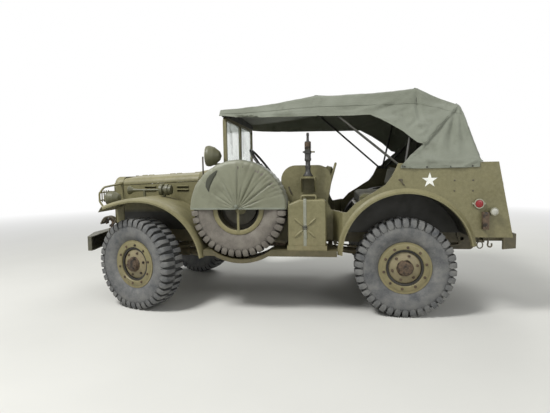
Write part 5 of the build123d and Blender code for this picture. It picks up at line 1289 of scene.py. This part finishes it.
def build_wheel_fittings():
    for name in ROAD_WHEELS:
        joint = JOINTS["spin_" + name]
        centre = Vector(joint["pos_m"])
        axis = Vector(joint["axis"]).normalized()
        out = axis if axis.y * centre.y > 0 else -axis
        side, up = frame_along(out)
        ring, disc, gap, worn = (bmesh.new() for _ in range(4))
        add_hoop(ring, centre, out, CLAMP_RING, 80)
        valve = centre + (0.42 * side + 0.9 * up).normalized() * mm(200)
        stem = [valve + out * mm(92), valve + out * mm(104), valve + out * mm(110) - side * mm(8)]
        add_tube(ring, stem, 4, 8)
        add_turned(disc, centre, out, HUB_DISC, 64)
        add_hoop(gap, centre, out, HUB_SHADE_RING, 64)
        add_turned(worn, centre, out, HUB_SHELL, 48)
        for vert in worn.verts:
            from_axle = vert.co - centre - out * (vert.co - centre).dot(out)
            lump = noise.noise(vert.co * 38.0) + 0.6 * noise.noise(vert.co * 95.0)
            vert.co += from_axle.normalized() * mm(5.5 * lump)
        for row, turned in ((RIM_BOLTS, 0.3), (HUB_NUTS, 0.2), (FLANGE_BOLTS, 0.0)):
            add_bolt_circle(worn, centre, out, row, turned)
        for start, shape, key, slot in (
            ("wheel_clamp_ring_", ring, "wheel_paint", "wheel_paint"),
            ("wheel_hub_disc_", disc, "hub_paint", "wheel_paint"),
            # painted shade: a near-black ring in the gap between the hub disc and the clamp ring
            ("wheel_hub_gap_", gap, "recess_black", "wheel_paint"),
            ("wheel_bolts_", worn, "bare_steel", "bare_steel"),
        ):
            add_piece(start + name, shape, key, name + "_wheel")
    flange = bmesh.new()
    add_hoop(flange, at(*SPARE), (0, -1, 0), SPARE_FLANGE, 80)
    add_piece("spare_wheel_flange", flange, "wheel_paint")


# Lamps

# Rear panel: its top edge, and how far it runs rearwards down its height
REAR_TOP_X = 3247
REAR_SLANT = 128
REAR_HEIGHT = 650
TAIL_Z = 1190              # tail lamps
TAIL_DEEP = 40


def add_lens(shape, centre, axis, radius, bulge):
    """Domed glass, its rim at the centre's plane."""
    profile = [(-1.5, 1), (0, 1), (0.45, 0.88), (0.75, 0.66), (0.93, 0.36), (1, 0.06)]
    rows = [(bulge * along if along > 0 else along, radius * share) for along, share in profile]
    add_turned(shape, centre, axis, rows, 40)


def add_bezel(shape, centre, axis, radius, width, deep):
    """Rolled rim round a lens."""
    outline = [(0, -0.5), (0.8, -0.4), (1, 0), (0.8, 0.4), (0, 0.5)]
    add_hoop(shape, centre, axis, [(deep * along, radius + width * out) for along, out in outline], 48)


def build_lamps():
    clear, red, rims, brackets = (bmesh.new() for _ in range(4))
    ahead = Vector((-1, 0, 0))
    slant = math.atan2(REAR_SLANT, REAR_HEIGHT)
    rearward = Vector((math.cos(slant), 0, math.sin(slant)))
    tail_x = REAR_TOP_X + (BODY_TOP - TAIL_Z) / REAR_HEIGHT * REAR_SLANT + TAIL_DEEP
    for side in (-1, 1):
        out = Vector((0, side, 0))
        add_lens(clear, at(-490.5, side * 585, 1078), ahead, 66, 12)
        add_bezel(rims, at(-489, side * 585, 1078), ahead, 70, 9, 6)
        face = at(tail_x, side * 790, TAIL_Z + 8)
        add_lens(red, face + rearward * mm(0.5), rearward, 34, 6)
        add_bezel(rims, face, rearward, 38, 7, 5)
        add_lens(red, at(3090, side * 974, 1030), out, 33, 5)
        add_bezel(rims, at(3090, side * 973.5, 1030), out, 38, 9, 5)
        for x in (3044, 3136):
            add_turned(rims, at(x, side * 957, 1030), out, [(0, 9), (12, 9), (14, 6), (15, 2)], 16)
        add_lens(clear, at(3201, side * 1015.5, 967), out, 28, 9)
        add_bezel(rims, at(3201, side * 1014.5, 967), out, 31, 6, 5)
        add_block(brackets, at(3141, side * 978.5, 884.5), (51, 46, 150), None, 5)
        for z in (832, 936):
            add_bolt(brackets, at(3141, side * 1001, z), out, 7, 6)
    add_lens(clear, at(645.5, -762, 1490), ahead, 87, 14)
    add_bezel(rims, at(647, -762, 1490), ahead, 92, 10, 7)
    add_piece("lamp_lenses_clear", clear, "clear_lens", crisp=40)
    add_piece("lamp_lenses_red", red, "red_lens", crisp=40)
    add_piece("lamp_rims", rims, "rim_paint", crisp=40)
    add_piece("side_lamp_brackets", brackets, "bare_steel")


# Small fittings of the body

SIDE_Y = 955.3
# The hood widens on each side by this much over its length
HOOD_FLARE = 95
HOOD_LENGTH = 880
STAR_X = 2683
STAR_Z = 1235
INNER_SHARE = 0.382        # the star's inner corners, as a share of its radius
REAR_HOOK = [(3180, 716), (3182, 690), (3176, 668), (3186, 652), (3204, 650), (3214, 664), (3210, 682)]
SHACKLE_BOW = [(-538, 800), (-560, 838), (-600, 862), (-644, 858), (-676, 828), (-690, 792)]
# Screw heads on the rear quarters: x, z
QUARTER_SCREWS = [(2889, 1231), (3041, 1231), (2889, 1142), (3041, 1142)]
HOOD_SLOTS = [(-96, 1147), (-96, 1185), (279, 1147), (279, 1185)]


def add_screw(shape, place, axis, radius, height):
    """Round head of a screw."""
    profile = [(0, 1), (0.5, 1), (0.85, 0.75), (1, 0.3)]
    add_turned(shape, place, axis, [(height * along, radius * share) for along, share in profile], 14)


def hood_side_y(x):
    """Half width of the hood at a station."""
    return 385 + HOOD_FLARE * (x + 420) / HOOD_LENGTH


def build_body_fittings():
    dark = bmesh.new()
    painted = bmesh.new()
    ahead = Vector((-1, 0, 0))
    for side in (-1, 1):
        out = Vector((0, side, 0))
        for x, z in QUARTER_SCREWS:
            add_screw(dark, at(x, side * SIDE_Y, z), out, 8, 4)
        # catch for the curtain, on the quarter beside the doorway
        base = at(2438, side * (SIDE_Y + 3), 1243)
        add_block(dark, base, (34, 8, 14), None, 2)
        hook = [(2444, 14, 1226), (2458, 14, 1203), (2470, 8, 1196)]
        add_tube(dark, [base + out * mm(4)] + [at(x, side * (SIDE_Y + y), z) for x, y, z in hook], 5)
        tilt = Matrix.Rotation(math.atan2(side * HOOD_FLARE, HOOD_LENGTH), 4, "Z")
        for x, z in HOOD_SLOTS:
            add_block(painted, at(x, side * (hood_side_y(x) + 6), z + 9), (136, 20, 11), tilt, 4)
        # tie-down ring and hook under the rear corner
        turns = [2 * math.pi * number / 24 for number in range(24)]
        loop = [at(3114 + 24 * math.cos(turn), side * 930, 668 + 30 * math.sin(turn)) for turn in turns]
        add_tube(dark, loop, 5, 10, True)
        add_block(dark, at(3114, side * 930, 703), (30, 24, 14), None, 3)
        add_tube(dark, smooth_line([at(x, side * 930, z) for x, z in REAR_HOOK], 4), 7)
        # wiper on each pane
        pivot = at(783, side * 330, 1852)
        add_turned(dark, pivot, ahead, [(0, 9), (16, 9), (18, 4)], 16)
        add_tube(dark, [pivot + ahead * mm(12), at(769, side * 300, 1640), at(776, side * 290, 1600)], 3.2, 8)
        lean = Matrix.Rotation(math.radians(-4 * side), 4, "X")
        add_block(dark, at(778, side * 296, 1640), (9, 7, 260), lean, 2)
        # hinge clamps at the foot of the windshield
        for y in (210, 560):
            add_block(painted, at(786, side * y, 1400), (10, 52, 34), None, 3)
            add_bolt(painted, at(781, side * y, 1400), ahead, 8, 9)
    # dark bar that stands on the cowl's left edge
    add_tube(dark, [at(549, -600, 1290), at(549, -600, 1480), at(552, -600, 1492)], 8, 12)
    add_block(dark, at(549, -600, 1294), (30, 30, 8), None, 2)
    # catch on the left seat side
    catch = [(1430, -718, 1184), (1438, -724, 1160), (1452, -724, 1128), (1460, -718, 1112)]
    add_tube(dark, [at(*place) for place in catch], 7)
    # tow shackles that lie over the front hooks
    for y in (-356, 356):
        for off in (-26, 26):
            bow = [at(x, y + off + 0.2 * (x + 610), z) for x, z in SHACKLE_BOW]
            add_tube(dark, smooth_line(bow, 4), 11)
        add_tube(dark, [at(-538, y - 42, 800), at(-538, y + 42, 800)], 12, 12)
        add_tube(dark, [at(-690, y - 48, 792), at(-690, y + 22, 792)], 12, 12)
    add_piece("body_small_fittings", dark, "bolt_steel")
    add_piece("body_louvre_lips", painted, "olive_paint")


def build_star(radius):
    """Five-pointed star, one point up, on each rear quarter."""
    shape = bmesh.new()
    for side in (-1, 1):
        place = at(STAR_X, side * (SIDE_Y + 1.2), STAR_Z)
        middle = shape.verts.new(place)
        ring = []
        for number in range(10):
            angle = math.pi / 2 + math.pi * number / 5
            reach = radius * (1 if number % 2 == 0 else INNER_SHARE)
            corner = Vector((reach * math.cos(angle), 0, reach * math.sin(angle)))
            ring.append(shape.verts.new(place + corner))
        for number in range(10):
            shape.faces.new((middle, ring[number], ring[(number + 1) % 10]))
    star = piece_from_bmesh("white_star", shape, finish("white_paint"), False)
    thicken(star, 0.8)
    settle(star, "car")


# Can and aerial

CAN_FACE_Y = -967.0
CAN_CROSS = (1599.0, 817.0)
# Aerial's mast: height above the ground and radius
MAST_SLEEVE = [
    (1285, 46), (1291, 46), (1297, 40), (1312, 30), (1330, 24), (1352, 22.5), (1372, 27), (1378, 27),
    (1384, 22), (1420, 22), (1428, 30), (1446, 31), (1450, 28), (1488, 28), (1492, 33), (1516, 33),
    (1520, 28), (1530, 28),
]
MAST_CAP = [
    (1594, 27), (1601, 27), (1604, 16), (1612, 12), (1650, 11), (1654, 13), (1668, 13), (1681, 10.5),
    (1681.5, 4),
]
SPRING_TURNS = 7


def build_can_and_aerial():
    out = Vector((0, -1, 0))
    pressed = bmesh.new()
    for degrees in (42, 138, 222, 318):
        angle = math.radians(degrees)
        arm = Vector((math.cos(angle), 0, math.sin(angle)))
        start = at(CAN_CROSS[0], CAN_FACE_Y - 0.3, CAN_CROSS[1])
        ridge = [start + arm * mm(30 + 17 * step) for step in range(7)]
        add_tube(pressed, ridge, [4, 9, 11.5, 12, 11.5, 9, 4])
    for x in (1454, 1777):
        add_tube(pressed, [at(x, CAN_FACE_Y + 6, 640 + 70 * step) for step in range(7)], 7)
    add_piece("can_pressed_cross", pressed, "olive_paint", crisp=40)
    strap = bmesh.new()
    run = [at(1599, CAN_FACE_Y - 1, z) for z in (622, 700, 780, 860, 940, 1020, 1066)]
    run += [at(1599, CAN_FACE_Y + 8, 1077), at(1599, CAN_FACE_Y + 40, 1079)]
    add_strip(strap, run, [out] * 7 + [Vector((0, -0.7, 0.7)), Vector((0, 0, 1))], 27, 2.6)
    tail = [(1599, 4, 812), (1601, 7, 770), (1604, 5, 728)]
    add_strip(strap, [at(x, CAN_FACE_Y - y, z) for x, y, z in tail], [out] * 3, 25, 2.2)
    add_piece("can_strap", strap, "webbing", crisp=40)
    metal = bmesh.new()
    buckle = [at(1599 + x, CAN_FACE_Y - 7, 822 + z) for x, z in ((-19, -14), (19, -14), (19, 14), (-19, 14))]
    add_tube(metal, buckle, 3, 8, True)
    add_tube(metal, [at(1599 + x, CAN_FACE_Y - 8, 822) for x in (-19, 19)], 2.6, 8)
    # the mast's foot, insulator and spring, as turned sleeves over the plain rods
    mast = at(1623, -837.3, 0)
    upright = Vector((0, 0, 1))
    rearward = Vector((1, 0, 0))
    add_turned(metal, mast, upright, MAST_SLEEVE, 32)
    add_turned(metal, mast, upright, MAST_CAP, 24)
    clamp = mast + upright * mm(1506)
    add_tube(metal, [clamp - rearward * mm(46), clamp - rearward * mm(30)], 7.5, 12)
    add_turned(metal, clamp + rearward * mm(60), rearward, [(0, 8), (3, 8), (4, 3)], 12)
    coil = bmesh.new()
    spiral = []
    steps = SPRING_TURNS * 14
    for step in range(steps + 1):
        angle = 2 * math.pi * step / 14
        height = mm(1531 + 62 * step / steps)
        spiral.append(mast + Vector((mm(26.5) * math.cos(angle), mm(26.5) * math.sin(angle), height)))
    add_tube(coil, spiral, 4.4, 8)
    add_piece("aerial_mast_and_buckle", metal, "gun_steel", crisp=40)
    add_piece("aerial_spring", coil, "bare_steel", crisp=40)


# Stage

CAMERA_PLACE = (0.489, -4.886, 1.333)
CAMERA_YAW = -7.853        # degrees, from facing straight across the car
CAMERA_PITCH = 4.612       # degrees, down
CAMERA_ROLL = -0.899
CAMERA_LENS = 28.54
FLOOR_REACH = 60.0         # metres from the middle to the floor's edges
FLOOR_STEPS = 12
# Lamps: name, place, power share, width in metres
LAMPS = [
    ("lamp_key", (-4.0, -5.0, 8.3), 1.0, 2.4),
    ("lamp_fill", (5.0, -7.0, 4.0), 0.22, 5.0),
    ("lamp_back", (2.0, 7.0, 6.5), 0.4, 5.0),
]


def seen_directly(tree):
    """One where the camera sees a place, straight on or in metal or glass, and else nothing."""
    path = add_node(tree, "ShaderNodeLightPath")
    seen = path.outputs["Is Camera Ray"]
    for kind in ("Is Glossy Ray", "Is Transmission Ray"):
        both = {0: seen, 1: path.outputs[kind]}
        seen = add_node(tree, "ShaderNodeMath", both, operation="ADD", use_clamp=True).outputs[0]
    return seen


def lit_backdrop(stage_settings):
    """World: white to the camera, in glass and in metal, and a plain soft light for the rest."""
    world = bpy.data.worlds.new("studio")
    world.use_nodes = True
    tree = world.node_tree
    tree.nodes.clear()
    white = add_node(tree, "ShaderNodeBackground", {"Color": (1, 1, 1, 1), "Strength": 1.0})
    dim = {"Color": (0.95, 0.98, 1, 1), "Strength": stage_settings.soft_light}
    soft = add_node(tree, "ShaderNodeBackground", dim)
    both = {0: seen_directly(tree), 1: soft.outputs[0], 2: white.outputs[0]}
    mixed = add_node(tree, "ShaderNodeMixShader", both)
    add_node(tree, "ShaderNodeOutputWorld", {"Surface": mixed.outputs[0]})
    bpy.context.scene.world = world


def floor_paint(stage_settings):
    """Painted studio floor: matt and pale, running out into the white of the backdrop."""
    material = bpy.data.materials.new("painted_studio_floor")
    material.use_nodes = True
    tree = material.node_tree
    tree.nodes.clear()
    coords = add_node(tree, "ShaderNodeTexCoord").outputs["Object"]
    away = add_node(tree, "ShaderNodeVectorMath", {0: coords}, operation="LENGTH")
    far = add_node(tree, "ShaderNodeMapRange", zip(RANGE, (away.outputs["Value"], 4.5, 13)))
    mottle = add_node(tree, "ShaderNodeTexNoise", {"Vector": coords, "Scale": per_metre(700), "Detail": 3.0})
    pale = tuple(stage_settings.floor)
    worn = tuple(channel * 0.94 for channel in pale[:3]) + (1.0,)
    colour = add_node(tree, "ShaderNodeMix", {0: mottle.outputs["Fac"], 6: pale, 7: worn}, data_type="RGBA")
    matt = add_node(tree, "ShaderNodeBsdfDiffuse", {"Color": colour.outputs[2]})
    both = {0: seen_directly(tree), 1: far.outputs["Result"]}
    shown = add_node(tree, "ShaderNodeMath", both, operation="MULTIPLY")
    white = add_node(tree, "ShaderNodeEmission", {"Color": (1, 1, 1, 1), "Strength": 1.0})
    both = {0: shown.outputs[0], 1: matt.outputs[0], 2: white.outputs[0]}
    mixed = add_node(tree, "ShaderNodeMixShader", both)
    add_node(tree, "ShaderNodeOutputMaterial", {"Surface": mixed.outputs[0]})
    return material


def camera_turn():
    """Camera axes from yaw, pitch and roll."""
    yaw, pitch, roll = (math.radians(angle) for angle in (CAMERA_YAW, CAMERA_PITCH, CAMERA_ROLL))
    forward = Vector((math.sin(yaw) * math.cos(pitch), math.cos(yaw) * math.cos(pitch), -math.sin(pitch)))
    level = Vector((math.cos(yaw), -math.sin(yaw), 0))
    upright = level.cross(forward)
    right = math.cos(roll) * level + math.sin(roll) * upright
    up = -math.sin(roll) * level + math.cos(roll) * upright
    return Matrix((right, up, -forward)).transposed().to_4x4()


def build_stage(stage_settings):
    shape = bmesh.new()
    lines = [FLOOR_REACH * (2 * step / FLOOR_STEPS - 1) for step in range(FLOOR_STEPS + 1)]
    rows = [[shape.verts.new((x, y, 0.0)) for y in lines] for x in lines]
    for first, second in zip(rows, rows[1:]):
        for place in range(FLOOR_STEPS):
            shape.faces.new((first[place], second[place], second[place + 1], first[place + 1]))
    floor = piece_from_bmesh("studio_floor", shape, floor_paint(stage_settings))
    lit_backdrop(stage_settings)
    aim = Vector((0.2, 0.0, 0.9))
    for name, place, share, width in LAMPS:
        light = bpy.data.lights.new(name, "AREA")
        light.energy = stage_settings.lamp_power * share
        light.size = width
        lamp = bpy.data.objects.new(name, light)
        lamp.location = place
        lamp.rotation_euler = (aim - Vector(place)).to_track_quat("-Z", "Y").to_euler()
        bpy.context.scene.collection.objects.link(lamp)
    data = bpy.data.cameras.new("camera")
    data.lens = CAMERA_LENS
    data.sensor_width = 36.0
    camera = bpy.data.objects.new("camera", data)
    camera.matrix_world = Matrix.Translation(CAMERA_PLACE) @ camera_turn()
    bpy.context.scene.collection.objects.link(camera)
    bpy.context.scene.camera = camera
    bpy.context.scene.view_settings.view_transform = "Standard"


# Add-on

def colour_setting(name, description, code):
    """Colour in the add-on's settings, from an sRGB hex value."""
    return bpy.props.FloatVectorProperty(
        name=name, description=description, subtype="COLOR", size=4, min=0, max=1, default=linear(code)
    )


class CarLooks(bpy.types.PropertyGroup):
    paint: colour_setting("Paint", "Olive drab of the body", "5f5b3c")
    paint_faded: colour_setting("Faded paint", "Olive drab where it has faded", "6e6a4a")
    canvas: colour_setting("Canvas", "Green of the canvas top", "74786a")
    canvas_faded: colour_setting("Faded canvas", "Green of the canvas in the sun", "8b8f82")


class CarSizes(bpy.types.PropertyGroup):
    top_cut_width: bpy.props.FloatProperty(
        name="Top, cut width",
        description="Width that the top's canvas is cut to",
        default=3.05,
        unit="LENGTH",
    )
    top_cut_length: bpy.props.FloatProperty(
        name="Top, cut length",
        description="Length that the top's canvas is cut to",
        default=2.75,
        unit="LENGTH",
    )
    top_cut_area: bpy.props.FloatProperty(
        name="Top, cut area",
        description="Area of the canvas with its side openings cut out",
        default=6.4,
        unit="AREA",
    )
    star_radius: bpy.props.FloatProperty(
        name="Star, radius", description="Middle of the star to a point", default=0.068, unit="LENGTH"
    )


class CarStage(bpy.types.PropertyGroup):
    floor: colour_setting("Floor", "Colour of the studio floor", "d9d8d2")
    lamp_power: bpy.props.FloatProperty(
        name="Lamp power", description="Power of the main lamp", default=800.0, min=0, unit="POWER"
    )
    soft_light: bpy.props.FloatProperty(
        name="Soft light", description="Strength of the light from all round", default=0.38, min=0
    )


class CAR_OT_paint(bpy.types.Operator):
    """Gives the pressed, cast and glass parts of the frame their finishes"""
    bl_idname = "car.paint"
    bl_label = "Paint the frame's parts"

    def execute(self, context):
        paint_nodes()
        return {"FINISHED"}


class CAR_OT_tyres(bpy.types.Operator):
    """Builds the four road tyres and the spare with their bar treads"""
    bl_idname = "car.tyres"
    bl_label = "Build the tyres"

    def execute(self, context):
        build_tyres()
        return {"FINISHED"}


class CAR_OT_canvas_top(bpy.types.Operator):
    """Builds the canvas top with its hems, seams and turn buttons"""
    bl_idname = "car.canvas_top"
    bl_label = "Build the canvas top"

    def execute(self, context):
        build_top()
        return {"FINISHED"}


class CAR_OT_spare_cover(bpy.types.Operator):
    """Builds the half cover of the spare wheel"""
    bl_idname = "car.spare_cover"
    bl_label = "Build the spare's cover"

    def execute(self, context):
        build_cover()
        return {"FINISHED"}


class CAR_OT_cushions(bpy.types.Operator):
    """Builds the seat cushions with their piping"""
    bl_idname = "car.cushions"
    bl_label = "Build the cushions"

    def execute(self, context):
        for row in CUSHIONS:
            build_cushion(*row)
        return {"FINISHED"}


class CAR_OT_wheel_fittings(bpy.types.Operator):
    """Builds the wheels' clamp rings, hub discs, bolts and worn hub caps"""
    bl_idname = "car.wheel_fittings"
    bl_label = "Build the wheels' fittings"

    def execute(self, context):
        build_wheel_fittings()
        return {"FINISHED"}


class CAR_OT_lamps(bpy.types.Operator):
    """Builds the lenses, rims and brackets of the lamps"""
    bl_idname = "car.lamps"
    bl_label = "Build the lamps' lenses"

    def execute(self, context):
        build_lamps()
        return {"FINISHED"}


class CAR_OT_body_fittings(bpy.types.Operator):
    """Builds screws, catches, louvre lips, wipers, rings and the star"""
    bl_idname = "car.body_fittings"
    bl_label = "Build the body's small fittings"

    def execute(self, context):
        build_body_fittings()
        build_star(context.scene.car_sizes.star_radius)
        return {"FINISHED"}


class CAR_OT_can_and_aerial(bpy.types.Operator):
    """Builds the can's pressed cross and strap and the aerial's mast"""
    bl_idname = "car.can_and_aerial"
    bl_label = "Build the can's and aerial's details"

    def execute(self, context):
        build_can_and_aerial()
        return {"FINISHED"}


class CAR_OT_stage(bpy.types.Operator):
    """Builds the floor, the lamps, the world and the camera"""
    bl_idname = "car.stage"
    bl_label = "Build the stage"

    def execute(self, context):
        build_stage(context.scene.car_stage)
        return {"FINISHED"}


OPERATORS = [
    CAR_OT_paint,
    CAR_OT_tyres,
    CAR_OT_canvas_top,
    CAR_OT_spare_cover,
    CAR_OT_cushions,
    CAR_OT_wheel_fittings,
    CAR_OT_lamps,
    CAR_OT_body_fittings,
    CAR_OT_can_and_aerial,
    CAR_OT_stage,
]


class CAR_PT_sidebar(bpy.types.Panel):
    """Sizes, colours and steps of the command car"""
    bl_idname = "CAR_PT_sidebar"
    bl_label = "Army 4x4 command car"
    bl_space_type = "VIEW_3D"
    bl_region_type = "UI"
    bl_category = "Command car"

    def draw(self, context):
        for settings in (context.scene.car_looks, context.scene.car_sizes, context.scene.car_stage):
            box = self.layout.box()
            for name in settings.__annotations__:
                box.prop(settings, name)
        for operator in OPERATORS:
            self.layout.operator(operator.bl_idname)


CLASSES = [CarLooks, CarSizes, CarStage, *OPERATORS, CAR_PT_sidebar]


def register():
    for item in CLASSES:
        bpy.utils.register_class(item)
    bpy.types.Scene.car_looks = bpy.props.PointerProperty(type=CarLooks)
    bpy.types.Scene.car_sizes = bpy.props.PointerProperty(type=CarSizes)
    bpy.types.Scene.car_stage = bpy.props.PointerProperty(type=CarStage)


def unregister():
    del bpy.types.Scene.car_stage
    del bpy.types.Scene.car_sizes
    del bpy.types.Scene.car_looks
    for item in reversed(CLASSES):
        bpy.utils.unregister_class(item)


def main():
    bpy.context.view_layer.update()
    register()
    for operator in OPERATORS:
        group, name = operator.bl_idname.split(".")
        getattr(getattr(bpy.ops, group), name)()


if __name__ == "__main__":
    main()
